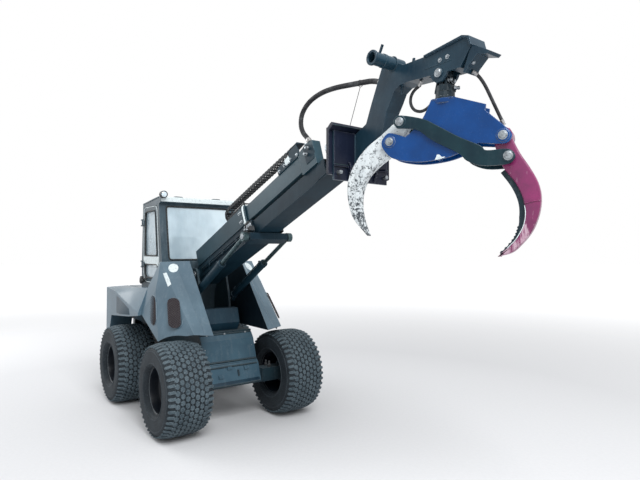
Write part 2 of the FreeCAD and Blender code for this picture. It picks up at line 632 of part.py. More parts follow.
# Boom pivot: two cheek plates on the deck, joined by the pin that the boom turns on, with the
# lift cylinders' base pins on their outer faces
pivot_x, pivot_z = boom_point(float(pivot_along), -float(pivot_drop))
cheeks = new_body("boom_pivot")
cheek_y = size("CheekY", 150, "middle of a boom cheek from the middle of the machine")
cheek_thick = size("CheekThick", 20, "boom cheek plate")
for side, sign in SIDES:
    pad(cheeks, "XZ_Plane", cheek_thick, sign * cheek_y, corners=[
        (-690.0, deck_height), (-340.0, deck_height), (-395.0, 1150.0), (pivot_x + 55, pivot_z + 30),
        (pivot_x + 20, pivot_z + 62), (pivot_x - 30, pivot_z + 62), (pivot_x - 75, pivot_z + 10),
        (-690.0, 1150.0)])
    pad(cheeks, "XZ_Plane", lift_y + 33 - cheek_y, sign * (lift_y + 33 + cheek_y) / 2,
        rings=[(lift_base_x, lift_base_z, 22.0)])
pad(cheeks, "XZ_Plane", 2 * cheek_y, 0.0, rings=[(pivot_x, pivot_z, pivot_radius)])
place(cheeks)

# Outer boom: a plate box that turns on the pivot, with a cross member and lugs for the lift rods
box_floor = boom_roof - boom_depth
box_start = size("BoxStart", 105, "rear end of the outer boom's hollow along the boom")
outer = new_body("boom_outer")
pad(outer, "XZ_Plane", boom_width, 0.0, corners=box_corners(-40.0, boom_mouth, box_floor, boom_roof))
pad(outer, "XZ_Plane", 2 * (lift_y - 33), 0.0, corners=[
    (lift_eye_along - 62, box_floor + 30), (lift_eye_along - 62, box_floor - 46),
    (lift_eye_along + 30, box_floor - 46), (lift_eye_along + 45, box_floor + 6),
    (boom_mouth, box_floor + 30)])
pocket(outer, "XZ_Plane", boom_width - 2 * boom_plate, 0.0, corners=box_corners(
    box_start, boom_mouth + 100, box_floor + boom_plate, boom_roof - boom_plate))
for side, sign in SIDES:
    pad(outer, "XZ_Plane", 13 - running_gap, sign * (lift_y - 33 + (13 - running_gap) / 2),
        rings=[(lift_eye_along, -lift_eye_drop - 40, 26.0)])
wear_pad = boom_slack - running_gap
for low, high in ((box_floor + boom_plate, box_floor + boom_plate + wear_pad),
                  (boom_roof - boom_plate - wear_pad, boom_roof - boom_plate)):
    pad(outer, "XZ_Plane", 120, 0.0, corners=box_corners(boom_mouth - 70, boom_mouth, low, high))
for side, sign in SIDES:
    pad(outer, "XZ_Plane", wear_pad, sign * (boom_width / 2 - boom_plate - wear_pad / 2), corners=box_corners(
        boom_mouth - 70, boom_mouth, box_floor + 40, boom_roof - 40))
pad(outer, "XZ_Plane", 2 * cheek_y - cheek_thick - 2 * running_gap, 0.0,
    rings=[(pivot_along, -pivot_drop, pivot_radius + 22)])
pocket(outer, "XZ_Plane", 2 * cheek_y, 0.0, rings=[(pivot_along, -pivot_drop, pivot_radius + shaft_gap)])
on_boom(outer)

# Outer rail: the levelling rail's case, fixed along the top right of the outer boom
rail_floor = boom_roof
rail_roof = boom_roof + rail_depth
rail_heel = 90.0
rail_mouth = boom_mouth - 55
outer_rail = new_body("rail_outer")
pad(outer_rail, "XZ_Plane", rail_width, rail_y, corners=box_corners(rail_heel, rail_mouth, rail_floor, rail_roof))
pocket(outer_rail, "XZ_Plane", rail_width - 2 * boom_plate, rail_y, corners=box_corners(
    rail_heel + boom_plate, rail_mouth + 100, rail_floor + boom_plate, rail_roof - boom_plate))
for low, high in ((rail_floor + boom_plate, rail_floor + boom_plate + wear_pad),
                  (rail_roof - boom_plate - wear_pad, rail_roof - boom_plate)):
    pad(outer_rail, "XZ_Plane", rail_width - 2 * boom_plate, rail_y, corners=box_corners(
        rail_mouth - 50, rail_mouth, low, high))
on_boom(outer_rail)

# Inner boom: slides in the outer box and carries the head with the tilt pivot
inner_half = boom_width / 2 - boom_plate - boom_slack
inner_floor = box_floor + boom_plate + boom_slack
inner_roof = boom_roof - boom_plate - boom_slack
inner = new_body("boom_inner")
pad(inner, "XZ_Plane", 2 * inner_half, 0.0, corners=box_corners(inner_heel, boom_head, inner_floor, inner_roof))
pocket(inner, "XZ_Plane", 2 * (inner_half - boom_plate), 0.0, corners=box_corners(
    inner_heel - 10, boom_head + 10, inner_floor + boom_plate, inner_roof - boom_plate))
head_lug = size("HeadLug", 70, "outer face of the boom head's lugs from the middle")
lug_thick = size("LugThick", 26, "boom head's lug plate")
tilt_pin = size("TiltPin", 20, "tilt pivot pin")
ear_inner = size("EarInner", 98, "inner face of the quick plate's ears from the middle")
for side, sign in SIDES:
    pad(inner, "XZ_Plane", lug_thick, sign * (head_lug - lug_thick / 2), corners=[
        (boom_head - 170, inner_floor + 2), (boom_head + 20, inner_floor + 20),
        (plate_along + 12, -plate_drop - 42), (plate_along + 40, -plate_drop - 12),
        (plate_along + 34, -plate_drop + 26), (plate_along, -plate_drop + 40),
        (boom_head + 10, inner_roof), (boom_head - 170, inner_roof - 2)])
    pad(inner, "XZ_Plane", ear_inner - head_lug - running_gap, sign * (head_lug + ear_inner - running_gap) / 2,
        rings=[(plate_along, -plate_drop, tilt_pin + 13)])
    pad(inner, "XZ_Plane", ear_inner + 34 - head_lug + lug_thick, sign * (ear_inner + 34 + head_lug - lug_thick) / 2,
        rings=[(plate_along, -plate_drop, tilt_pin)])
on_boom(inner)

# Inner rail: slides in the outer rail and ends in a head block above the boom head
inner_rail = new_body("rail_inner")
rail_inner_width = rail_width - 2 * boom_plate - 2 * boom_slack
rail_inner_floor = rail_floor + boom_plate + boom_slack
rail_inner_roof = rail_roof - boom_plate - boom_slack
pad(inner_rail, "XZ_Plane", rail_inner_width, rail_y, corners=box_corners(
    inner_heel, boom_head - 130, rail_inner_floor, rail_inner_roof))
pad(inner_rail, "XZ_Plane", rail_inner_width + 14, rail_y, corners=[
    (boom_head - 240, inner_roof), (boom_head - 60, inner_roof), (boom_head - 50, rail_inner_roof + 20),
    (boom_head - 130, rail_inner_roof + 32), (boom_head - 240, rail_inner_roof + 12)])
on_boom(inner_rail)

# Drag chain: two runs and a bend of moulded links above the rail, on a thin carrier inside them
chain = new_body("drag_chain")
chain_width = size("ChainWidth", 64, "drag chain's links across")
chain_low = rail_roof + 0.0
link_pitch = size("LinkPitch", 43, "drag chain's links along the chain")
upper_run = chain_low + 86
pad(chain, "XZ_Plane", chain_width - 12, rail_y, corners=[
    (rail_mouth - 320, chain_low), (rail_mouth, chain_low), (rail_mouth, chain_low + 30),
    (rail_mouth - 306, chain_low + 30), (rail_mouth - 326, chain_low + 60),
    (rail_mouth - 306, upper_run + 4), (rail_mouth + 60, upper_run + 4), (rail_mouth + 60, upper_run + 30),
    (rail_mouth - 330, upper_run + 30), (rail_mouth - 362, chain_low + 60)])
for run_start, run_low, links in ((rail_mouth - 300, chain_low + 0.0, 7), (rail_mouth - 318, upper_run, 8)):
    for step in range(links):
        link_start = run_start + step * link_pitch
        pad(chain, "XZ_Plane", chain_width, rail_y, corners=[
            (link_start, run_low), (link_start + link_pitch - 6, run_low),
            (link_start + link_pitch - 2, run_low + 17), (link_start + link_pitch - 6, run_low + 34),
            (link_start, run_low + 34)])
for bend_along, bend_rise, tip_along, tip_rise in (
        (-312.0, 34.0, -348.0, 12.0), (-327.0, 58.0, -370.0, 44.0), (-322.0, 84.0, -362.0, 98.0)):
    pad(chain, "XZ_Plane", chain_width, rail_y, corners=[
        (rail_mouth + bend_along, chain_low + bend_rise - 14), (rail_mouth + bend_along, chain_low + bend_rise + 10),
        (rail_mouth + tip_along, chain_low + tip_rise + 14), (rail_mouth + tip_along, chain_low + tip_rise - 12)])
on_boom(chain)

# Lift cylinders: a barrel on the base pin and a rod to the boom's cross member, on each side
eye_x, eye_z = boom_point(float(lift_eye_along), -float(lift_eye_drop) - 40.0)
lift_pitch = math.degrees(math.atan2(eye_z - lift_base_z, eye_x - lift_base_x))
lift_length = math.hypot(eye_x - lift_base_x, eye_z - lift_base_z)
lift_barrel_length = size("LiftBarrelLength", 720, "lift cylinder from its base eye to its gland")
barrels = new_body("lift_barrels")
rods = new_body("lift_rods")
eye_width = size("EyeWidth", 40, "cylinder eyes along their pins")
for side, sign in SIDES:
    pad(barrels, "YZ_Plane", lift_barrel_length - 30, (lift_barrel_length + 30) / 2,
        rings=[(sign * lift_y, 0.0, lift_barrel_radius)])
    pocket(barrels, "YZ_Plane", lift_barrel_length - 30, (lift_barrel_length + 30) / 2 + 40,
           rings=[(sign * lift_y, 0.0, lift_rod_radius + running_gap)])
    pad(barrels, "XZ_Plane", eye_width, sign * lift_y, rings=[(0.0, 0.0, 44.0)])
    pocket(barrels, "XZ_Plane", eye_width + 10, sign * lift_y, rings=[(0.0, 0.0, 22 + shaft_gap)])
    rod_start = 300.0
    pad(rods, "YZ_Plane", lift_length - 30 - rod_start, (lift_length - 30 + rod_start) / 2,
        rings=[(sign * lift_y, 0.0, lift_rod_radius)])
    pad(rods, "XZ_Plane", eye_width, sign * lift_y, rings=[(lift_length, 0.0, 38.0)])
place(barrels, lift_base_x, 0.0, lift_base_z, pitch=lift_pitch)
place(rods, lift_base_x, 0.0, lift_base_z, pitch=lift_pitch)

# Quick-attach plate: an upright plate with side ears on the tilt pin, lugs for the tilt rod, a top
# lip and lower teeth
tilt_x, tilt_z = boom_point(float(plate_along), -float(plate_drop))
eye_ahead = size("TiltEyeAhead", 42, "tilt rod's eye ahead of the tilt pivot")
eye_below = size("TiltEyeBelow", 91, "tilt rod's eye below the tilt pivot")
plate_thick = size("PlateThick", 16, "quick-attach plate")
plate = new_body("quick_plate")
plate_face = size("PlateFace", 155, "quick-attach plate's rear face ahead of the tilt pivot")
plate_low = -size("PlateLow", 203, "lower edge of the quick-attach plate below the tilt pivot")
plate_high = size("PlateHigh", 72, "upper edge of the quick-attach plate above the tilt pivot")
pad(plate, "XZ_Plane", 2 * plate_half, 0.0, corners=[
    (plate_face, plate_low), (plate_face + plate_thick, plate_low), (plate_face + plate_thick, plate_high),
    (plate_face + 40, plate_high + 25), (plate_face + 30, plate_high + 35), (plate_face, plate_high + 10)])
for side, sign in SIDES:
    pad(plate, "XZ_Plane", 24, sign * (ear_inner + 12), corners=[
        (-36.0, -26.0), (-8.0, -44.0), (plate_face + 4, plate_low + 40), (plate_face + 4, plate_high - 10),
        (10.0, 42.0), (-26.0, 34.0)])
    pad(plate, "XZ_Plane", 14, sign * 29.0, corners=[
        (eye_ahead - 28, -eye_below - 14), (eye_ahead - 8, -eye_below - 30), (eye_ahead + 20, -eye_below - 30),
        (plate_face + 4, plate_low + 30), (plate_face + 4, -eye_below + 50), (eye_ahead + 10, -eye_below + 30),
        (eye_ahead - 20, -eye_below + 24)])
    pad(plate, "XZ_Plane", 20, sign * 32.0, rings=[(eye_ahead, -eye_below, 16.0)])
pocket(plate, "XZ_Plane", 2 * plate_half, 0.0, rings=[(0.0, 0.0, tilt_pin + shaft_gap)])
place(plate, tilt_x, 0.0, tilt_z)

# Jib: a tool plate hooked on the quick plate, a bent post, a beam with a capped nose, a socket tube
# across the post's top and the hanger cheeks. It is drawn from the tilt pivot
jib = new_body("jib")
jib_face = plate_face + plate_thick
jib_width = size("JibWidth", 110, "jib post and beam")
socket_reach = size("SocketReach", 225, "open end of the socket tube from the middle")
socket_bore = size("SocketBore", 30, "socket tube's bore radius")
hang_dx = hanger_reach
hang_dz = hanger_rise
hanger_x = tilt_x + hanger_reach
hanger_z = tilt_z + hanger_rise
pad(jib, "XZ_Plane", 2 * plate_half - 60, 0.0, corners=box_corners(
    jib_face, jib_face + 14, plate_low - 40, plate_high - 5))
pad(jib, "XZ_Plane", jib_width, 0.0, corners=[
    (jib_face + 14, plate_low + 20), (434.0, 18.0), (469.0, 148.0), (503.0, 200.0), (536.0, 258.0),
    (581.0, 282.0), (648.0, 285.0), (hang_dx - 94, hang_dz + 3), (hang_dx + 11, hang_dz - 4),
    (hang_dx + 141, hang_dz - 11), (hang_dx + 210, hang_dz + 86), (hang_dx + 198, hang_dz + 128),
    (hang_dx + 161, hang_dz + 141), (hang_dx - 93, hang_dz + 117), (610.0, 392.0), (566.0, 418.0),
    (525.0, 440.0), (436.0, 430.0), (338.0, 220.0), (291.0, 110.0), (jib_face + 14, plate_high - 12)])
pad(jib, "XZ_Plane", jib_width + 24, 0.0, corners=[
    (hang_dx - 95, hang_dz + 113), (hang_dx - 95, hang_dz + 121), (hang_dx + 160, hang_dz + 149),
    (hang_dx + 204, hang_dz + 133), (hang_dx + 217, hang_dz + 84), (hang_dx + 208, hang_dz + 82),
    (hang_dx + 196, hang_dz + 124), (hang_dx + 160, hang_dz + 137)])
pad(jib, "XZ_Plane", jib_width - 10, 0.0, corners=[
    (hang_dx + 200, hang_dz + 70), (hang_dx + 215, hang_dz + 88), (hang_dx + 315, hang_dz + 25),
    (hang_dx + 300, hang_dz + 14), (hang_dx + 240, hang_dz + 31), (hang_dx + 185, hang_dz - 17),
    (hang_dx + 169, hang_dz - 46), (hang_dx + 155, hang_dz - 38), (hang_dx + 170, hang_dz - 4)])
pad(jib, "XZ_Plane", socket_reach + 20, -(socket_reach - 20) / 2, rings=[(525.0, 422.0, socket_bore + 8)])
pocket(jib, "XZ_Plane", socket_reach - jib_width / 2, -(socket_reach + jib_width / 2) / 2,
       rings=[(525.0, 422.0, socket_bore)])
pad(jib, "XZ_Plane", 12, -(socket_reach - 60), corners=[
    (519.0, 450.0), (531.0, 450.0), (559.0, 500.0), (549.0, 506.0)])
for peg_x, peg_low, peg_high in ((565.0, 235.0, 290.0), (655.0, 380.0, 420.0)):
    pad(jib, "XZ_Plane", 12, -jib_width / 4, corners=[
        (peg_x, peg_low), (peg_x + 12, peg_low), (peg_x + 20, peg_high), (peg_x + 8, peg_high)])
for side, sign in SIDES:
    pad(jib, "XZ_Plane", 16, sign * 46.0, corners=[
        (hang_dx - 88, hang_dz + 40), (hang_dx - 62, hang_dz + 5), (hang_dx - 44, hang_dz - 30),
        (hang_dx - 18, hang_dz - 50), (hang_dx + 22, hang_dz - 48), (hang_dx + 48, hang_dz - 20),
        (hang_dx + 62, hang_dz + 10), (hang_dx + 84, hang_dz + 40)])
pocket(jib, "XZ_Plane", 76, 0.0, corners=[
    (hang_dx - 92, hang_dz - 90), (hang_dx + 92, hang_dz - 90), (hang_dx + 80, hang_dz + 46),
    (hang_dx - 80, hang_dz + 46)])
pocket(jib, "XZ_Plane", 140, 0.0, rings=[(hang_dx, hang_dz, 16 + shaft_gap)])
place(jib, tilt_x, 0.0, tilt_z)

# Tilt cylinder: lies inside the inner boom box, and its rod comes out between the head's lugs
tilt_base_along = size("TiltBaseAlong", 1560, "tilt cylinder's base eye along the boom")
tilt_base_drop = size("TiltBaseDrop", 82, "tilt cylinder's base eye below the boom datum line")
base_x, base_z = boom_point(float(tilt_base_along), -float(tilt_base_drop))
tilt_eye_x = tilt_x + eye_ahead
tilt_eye_z = tilt_z - eye_below
tilt_pitch = math.degrees(math.atan2(tilt_eye_z - base_z, tilt_eye_x - base_x))
tilt_length = math.hypot(tilt_eye_x - base_x, tilt_eye_z - base_z)
tilt_barrel = new_body("tilt_barrel")
tilt_barrel_length = size("TiltBarrelLength", 470, "tilt cylinder from its base eye to its gland")
tilt_rod_radius = size("TiltRodRadius", 17, "tilt cylinder rod")
pad(tilt_barrel, "YZ_Plane", tilt_barrel_length - 25, (tilt_barrel_length + 25) / 2, rings=[(0.0, 0.0, 31.0)])
pocket(tilt_barrel, "YZ_Plane", tilt_barrel_length - 25, (tilt_barrel_length + 25) / 2 + 40,
       rings=[(0.0, 0.0, tilt_rod_radius + running_gap)])
pad(tilt_barrel, "XZ_Plane", 44, 0.0, rings=[(0.0, 0.0, 33.0)])
pocket(tilt_barrel, "XZ_Plane", 60, 0.0, rings=[(0.0, 0.0, 16 + shaft_gap)])
place(tilt_barrel, base_x, 0.0, base_z, pitch=tilt_pitch)
tilt_rod = new_body("tilt_rod")
rod_heel = size("TiltRodHeel", 170, "inner end of the tilt rod from the base eye")
pad(tilt_rod, "YZ_Plane", tilt_length - 20 - rod_heel, (tilt_length - 20 + rod_heel) / 2,
    rings=[(0.0, 0.0, tilt_rod_radius)])
pad(tilt_rod, "XZ_Plane", 36, 0.0, rings=[(tilt_length, 0.0, 27.0)])
place(tilt_rod, base_x, 0.0, base_z, pitch=tilt_pitch)
pad(inner, "XZ_Plane", 2 * inner_half - 2, 0.0, rings=[(tilt_base_along, -tilt_base_drop, 16.0)])
for side, sign in SIDES:
    pad(inner, "XZ_Plane", inner_half - 2 - 22 - running_gap, sign * (inner_half - 2 + 22 + running_gap) / 2,
        rings=[(tilt_base_along, -tilt_base_drop, 23.0)])

# Hanger: a cross block that swings on the jib's pin
hanger = new_body("hanger")
pad(hanger, "XZ_Plane", 70, 0.0, corners=box_corners(-26.0, 26.0, -grapple_drop + 40, -14.0))
pad(hanger, "XZ_Plane", 70, 0.0, rings=[(0.0, 0.0, 30.0)])
pad(hanger, "XZ_Plane", 120, 0.0, rings=[(0.0, 0.0, 16.0)])
pad(hanger, "XY_Plane", 40, -grapple_drop + 20, rings=[(0.0, 0.0, 52.0)])
place(hanger, hanger_x, 0.0, hanger_z)

# Grapple, drawn in its own upright plane from the hanger pin: two cheek plates under the rotator,
# a boss for each tine's pin, and an arm that reaches down to the left boss
head_gap = size("HeadGap", 90, "between the grapple's cheek plates")
cheek = size("GrappleCheek", 12, "grapple cheek plate")
tine_pin = size("TinePin", 20, "tine pin radius")
link_pin = size("LinkPin", 18, "link pin radius")
tine_thick = size("TineThick", 66, "tine across its plane")
link_plate = size("LinkPlate", 12, "link plate")
left_pin = (-301.0, -347.0)
right_pin = (308.0, -375.0)
left_crank = (-235.0, -245.0)
right_crank = (335.0, -485.0)
over_cheeks = head_gap + 2 * cheek + 10


def on_hanger(item):
    """Put a piece that is drawn in the grapple's plane under the hanger pin."""
    place(item, hanger_x, 0.0, hanger_z, yaw=grapple_yaw)


head = new_body("grapple_head")
head_line = [(-62.0, -142.0), (60.0, -142.0), (226.0, -205.0), (222.0, -236.0), (316.0, -328.0),
             (350.0, -372.0), (338.0, -408.0), (300.0, -418.0), (189.0, -404.0), (87.0, -446.0),
             (-9.0, -469.0), (-148.0, -474.0), (-281.0, -443.0), (-340.0, -385.0), (-350.0, -340.0),
             (-320.0, -302.0), (-285.0, -300.0), (-210.0, -329.0), (-165.0, -296.0), (-112.0, -240.0)]
for side, sign in SIDES:
    pad(head, "XZ_Plane", cheek, sign * (head_gap + cheek) / 2, corners=head_line)
for pin in (left_pin, right_pin):
    pad(head, "XZ_Plane", over_cheeks, 0.0, rings=[(pin[0], pin[1], tine_pin)])
pad(head, "XY_Plane", 24, -grapple_drop - running_gap - 12, rings=[(0.0, 0.0, 66.0)])
on_hanger(head)

# Tines: curved arms with a hub on the pin and a crank for the cross link, closing on each other
left_line = [(-205.0, -225.0), (-262.0, -220.0), (-369.0, -301.0), (-457.0, -362.0), (-528.0, -444.0),
             (-570.0, -530.0), (-580.0, -610.0), (-567.0, -700.0), (-535.0, -780.0), (-452.0, -873.0),
             (-490.0, -758.0), (-498.0, -658.0), (-480.0, -582.0), (-445.0, -520.0), (-382.0, -465.0),
             (-303.0, -415.0), (-250.0, -380.0), (-230.0, -330.0), (-205.0, -265.0)]
right_line = [(285.0, -335.0), (335.0, -335.0), (352.0, -400.0), (385.0, -470.0), (430.0, -545.0),
              (466.0, -620.0), (480.0, -695.0), (470.0, -780.0), (438.0, -863.0), (386.0, -930.0),
              (338.0, -972.0), (272.0, -990.0), (352.0, -915.0), (390.0, -850.0), (404.0, -775.0),
              (396.0, -700.0), (362.0, -620.0), (300.0, -530.0), (268.0, -440.0), (262.0, -380.0)]
for label, tine_line, pin, crank, crank_bore in (
        ("tine_left", left_line, left_pin, left_crank, True),
        ("tine_right", right_line, right_pin, right_crank, False)):
    tine = new_body(label)
    pad(tine, "XZ_Plane", tine_thick, 0.0, corners=tine_line)
    pad(tine, "XZ_Plane", head_gap - 2 * running_gap, 0.0, rings=[(pin[0], pin[1], 44.0)])
    pad(tine, "XZ_Plane", over_cheeks - 2 * running_gap, 0.0, rings=[(crank[0], crank[1], 30.0)])
    pocket(tine, "XZ_Plane", over_cheeks, 0.0, rings=[(pin[0], pin[1], tine_pin + shaft_gap)])
    if crank_bore:
        pocket(tine, "XZ_Plane", over_cheeks, 0.0, rings=[(crank[0], crank[1], link_pin + shaft_gap)])
    on_hanger(tine)

# Cross link: an S-shaped plate on each face of the head, which makes the tines close together
link = new_body("cross_link")
link_line = [(-268.0, -258.0), (-256.0, -220.0), (-227.0, -210.0), (-102.0, -245.0), (-25.0, -290.0),
             (87.0, -361.0), (199.0, -420.0), (229.0, -447.0), (335.0, -450.0), (368.0, -485.0),
             (350.0, -518.0), (312.0, -528.0), (204.0, -524.0), (128.0, -492.0), (87.0, -450.0),
             (-52.0, -368.0), (-130.0, -305.0), (-215.0, -284.0), (-250.0, -280.0)]
for side, sign in SIDES:
    pad(link, "XZ_Plane", link_plate, sign * (over_cheeks + link_plate) / 2, corners=link_line)
pad(link, "XZ_Plane", over_cheeks + 2 * link_plate + 12, 0.0,
    rings=[(left_crank[0], left_crank[1], link_pin)])
for side, sign in SIDES:
    pad(link, "XZ_Plane", link_plate + 6, sign * (over_cheeks + link_plate + 6) / 2,
        rings=[(right_crank[0], right_crank[1], link_pin)])
on_hanger(link)


# Hoses: plain round tubes along straight runs joined by arcs, each route drawn from the tilt pivot
def hose(label, route, radius):
    points = [FreeCAD.Vector(*point) for point in route]
    edges = []
    last = points[0]
    for before, corner, after in zip(points, points[1:], points[2:]):
        into = (corner - before).normalize()
        out = (after - corner).normalize()
        trim = 0.45 * min((corner - before).Length, (after - corner).Length)
        first = corner - into * trim
        final = corner + out * trim
        half_turn = into.getAngle(out) / 2
        arc_radius = trim / math.tan(half_turn)
        inward = (out - into).normalize()
        middle = corner + inward * (arc_radius / math.cos(half_turn) - arc_radius)
        edges.append(Part.LineSegment(last, first).toShape())
        edges.append(Part.Arc(first, middle, final).toShape())
        last = final
    edges.append(Part.LineSegment(last, points[-1]).toShape())
    path = Part.Wire(edges)
    start = (points[1] - points[0]).normalize()
    section = Part.Wire(Part.Circle(points[0], start, float(radius)).toShape())
    solid = path.makePipeShell([section], True, False)
    piece = doc.addObject("Part::Feature", label)
    piece.Label = label
    piece.Shape = Part.Solid(solid) if solid.ShapeType != "Solid" else solid
    share = piece.Shape.Volume / (math.pi * float(radius) ** 2 * path.Length)
    print(f"{label}: {path.Length:.0f} long, volume {share:.3f} of section times length")
    return piece


loop_radius = size("LoopRadius", 18, "radius of the sleeved hose loop over the tilt pivot")
hose_radius = size("HoseRadius", 9, "radius of a single hose at the hanger")
hose_loop = hose("hose_loop", [
    (-269.4, -80, 83.4), (-316, -72, 130), (-382, -62, 174), (-430, -52, 246), (-426, -44, 334),
    (-345, -34, 408), (-205, -25, 440), (-60, -18, 438), (75, -12, 422), (205, -6, 406), (318, -2, 390),
    (399, 0, 352.2)], loop_radius)
place(hose_loop, tilt_x, 0.0, tilt_z)
hose_left = hose("hose_left", [
    (716, -18, 275), (700, -18, 250), (662, -17, 240), (630, -14, 210), (624, -10, 166), (648, -6, 126),
    (694, -2, 107), (738, 0, 114), (774, 0, 134.5), (812.3, 0, 154.4)], hose_radius)
place(hose_left, tilt_x, 0.0, tilt_z)
hose_right = hose("hose_right", [
    (1049.7, 0, 239.4), (1071, 12, 220), (1091, 40, 172), (1110, 62, 108), (1130, 90, 34), (1149, 122, -40)],
    hose_radius)
place(hose_right, tilt_x, 0.0, tilt_z)

# Check every object, then write each piece to its own file
doc.recompute()
for item in doc.Objects:
    if "Invalid" in item.State or "Error" in item.State:
        raise RuntimeError(f"{item.Name} is {item.State}")
whole = FreeCAD.BoundBox()
for item in pieces:
    if item.Shape.isNull() or not item.Shape.isValid():
        raise RuntimeError(f"{item.Label} has no valid shape")
    whole.add(item.Shape.BoundBox)
    item.Shape.exportStep(f"parts/{item.Label}.step")
print(f"{len(pieces)} pieces, X {whole.XMin:.2f} to {whole.XMax:.2f}, Y {whole.YMin:.2f} to "
      f"{whole.YMax:.2f}, Z {whole.ZMin:.2f} to {whole.ZMax:.2f}")
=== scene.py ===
import math

import bmesh
import bpy
import numpy as np
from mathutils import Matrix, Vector
from mathutils.bvhtree import BVHTree


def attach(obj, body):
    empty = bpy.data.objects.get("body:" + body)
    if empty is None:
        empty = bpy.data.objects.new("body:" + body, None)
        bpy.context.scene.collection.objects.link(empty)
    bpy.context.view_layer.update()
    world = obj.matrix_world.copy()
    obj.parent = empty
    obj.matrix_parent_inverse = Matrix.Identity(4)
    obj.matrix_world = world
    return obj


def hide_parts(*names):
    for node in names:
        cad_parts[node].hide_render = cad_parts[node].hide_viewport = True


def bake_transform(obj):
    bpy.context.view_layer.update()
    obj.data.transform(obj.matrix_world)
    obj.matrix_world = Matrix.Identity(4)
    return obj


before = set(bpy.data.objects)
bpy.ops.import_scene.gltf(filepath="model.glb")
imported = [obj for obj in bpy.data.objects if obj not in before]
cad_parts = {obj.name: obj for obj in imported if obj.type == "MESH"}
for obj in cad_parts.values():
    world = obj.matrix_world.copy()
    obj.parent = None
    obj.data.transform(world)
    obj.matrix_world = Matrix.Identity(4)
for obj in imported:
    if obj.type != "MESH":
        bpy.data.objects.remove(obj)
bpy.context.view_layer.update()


# Camera: it stands ahead of the machine and to its right, at a grown person's eye level, and looks
# a little upwards along the boom.
camera = bpy.data.objects.new("camera", bpy.data.cameras.new("camera"))
bpy.context.scene.collection.objects.link(camera)
camera.data.lens = 28.69
camera.location = (3.7214, -2.220, 1.555)
camera.rotation_euler = (math.radians(91.27), 0.0, math.radians(52.72))
bpy.context.scene.camera = camera
bpy.context.scene.view_settings.view_transform = "Standard"


# Hydraulic hoses: a thick sleeved loop over the tilt pivot, and two single hoses at the hanger. They
# are black rubber in a wound guard, and each ends in a crimped steel ferrule on what it feeds.
tilt_pivot = np.array([1.06463, 0.0, 2.2457])


class Field:
    """A shader value that takes part in sums: each operator adds the Math node that works it out."""

    def __init__(self, tree, socket):
        self.tree, self.socket = tree, socket

    def worked(self, operation, first, second=0.0):
        node = self.tree.nodes.new("ShaderNodeMath")
        node.operation = operation
        for entry, term in zip(node.inputs, (first, second)):
            if isinstance(term, Field):
                self.tree.links.new(term.socket, entry)
            else:
                entry.default_value = term
        return Field(self.tree, node.outputs[0])

    def __add__(self, other):
        return self.worked("ADD", self, other)

    def __radd__(self, other):
        return self.worked("ADD", other, self)

    def __sub__(self, other):
        return self.worked("SUBTRACT", self, other)

    def __rsub__(self, other):
        return self.worked("SUBTRACT", other, self)

    def __mul__(self, other):
        return self.worked("MULTIPLY", self, other)

    def __rmul__(self, other):
        return self.worked("MULTIPLY", other, self)

    def up_to_one(self):
        return self.worked("MINIMUM", self, 1.0)


class Finish:
    """One material: a Principled shader, and the nodes that feed it."""

    def __init__(self, name, **constants):
        self.material = bpy.data.materials.new(name)
        self.material.use_nodes = True
        self.tree = self.material.node_tree
        self.shader = self.tree.nodes["Principled BSDF"]
        for entry, value in constants.items():
            self.shader.inputs[entry.replace("_", " ")].default_value = value

    def node(self, kind, settings=None, inputs=None, output=0):
        """Any node: its settings first, then the values or links of its sockets. Gives one output."""
        made = self.tree.nodes.new(kind)
        for key, value in (settings or {}).items():
            setattr(made, key, value)
        for entry, value in (inputs or {}).items():
            if isinstance(value, Field):
                self.tree.links.new(value.socket, made.inputs[entry])
            else:
                made.inputs[entry].default_value = value
        return Field(self.tree, made.outputs[output])

    def place(self):
        return self.node("ShaderNodeTexCoord", output="Object")

    def noise(self, scale, detail=4.0, rough=0.55, place=None):
        """Cloudy noise with a feature size of about 1 / scale metres."""
        return self.node("ShaderNodeTexNoise", {}, {
            "Vector": place or self.place(), "Scale": scale, "Detail": detail, "Roughness": rough}, "Fac")

    def ramp(self, value, low, high):
        """Nought below low and one above high, in a straight line between them."""
        return self.node("ShaderNodeMapRange", {"clamp": True}, {
            "Value": value, "From Min": low, "From Max": high, "To Min": 0.0, "To Max": 1.0})

    def mix(self, share, first, second):
        """Share of the second colour over the first; a colour is a tuple of three or a Field."""
        first, second = (c if isinstance(c, Field) else (*c, 1.0) for c in (first, second))
        return self.node("ShaderNodeMix", {"data_type": "RGBA"}, {0: share, 6: first, 7: second}, 2)

    def edges(self, radius):
        """How far a rounded edge's normal leans from the face's own: one less their dot product."""
        rounded = self.node("ShaderNodeBevel", {"samples": 4}, {"Radius": radius})
        flat = self.node("ShaderNodeNewGeometry", output="Normal")
        return 1.0 - self.node("ShaderNodeVectorMath", {"operation": "DOT_PRODUCT"}, {0: rounded, 1: flat}, "Value")

    def facing_up(self):
        """One on faces that look up in the piece's own coordinates, nought on upright ones."""
        normal = self.node("ShaderNodeTexCoord", output="Normal")
        return self.node("ShaderNodeSeparateXYZ", {}, {0: normal}, "Z")

    def feed(self, entry, value):
        if isinstance(value, Field):
            self.tree.links.new(value.socket, self.shader.inputs[entry])
        else:
            self.shader.inputs[entry].default_value = value

    def relief(self, height, depth, strength=1.0, round_edge=0.0):
        """A bump of that depth in metres, over edges rounded to round_edge."""
        inputs = {"Height": height, "Distance": depth, "Strength": strength}
        if round_edge:
            inputs["Normal"] = self.node("ShaderNodeBevel", {"samples": 4}, {"Radius": round_edge})
        self.feed("Normal", self.node("ShaderNodeBump", {}, inputs))

    def cover(self, *nodes):
        """Gives CAD nodes this finish."""
        for name in nodes:
            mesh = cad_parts[name].data
            mesh.materials.clear()
            mesh.materials.append(self.material)
        return self


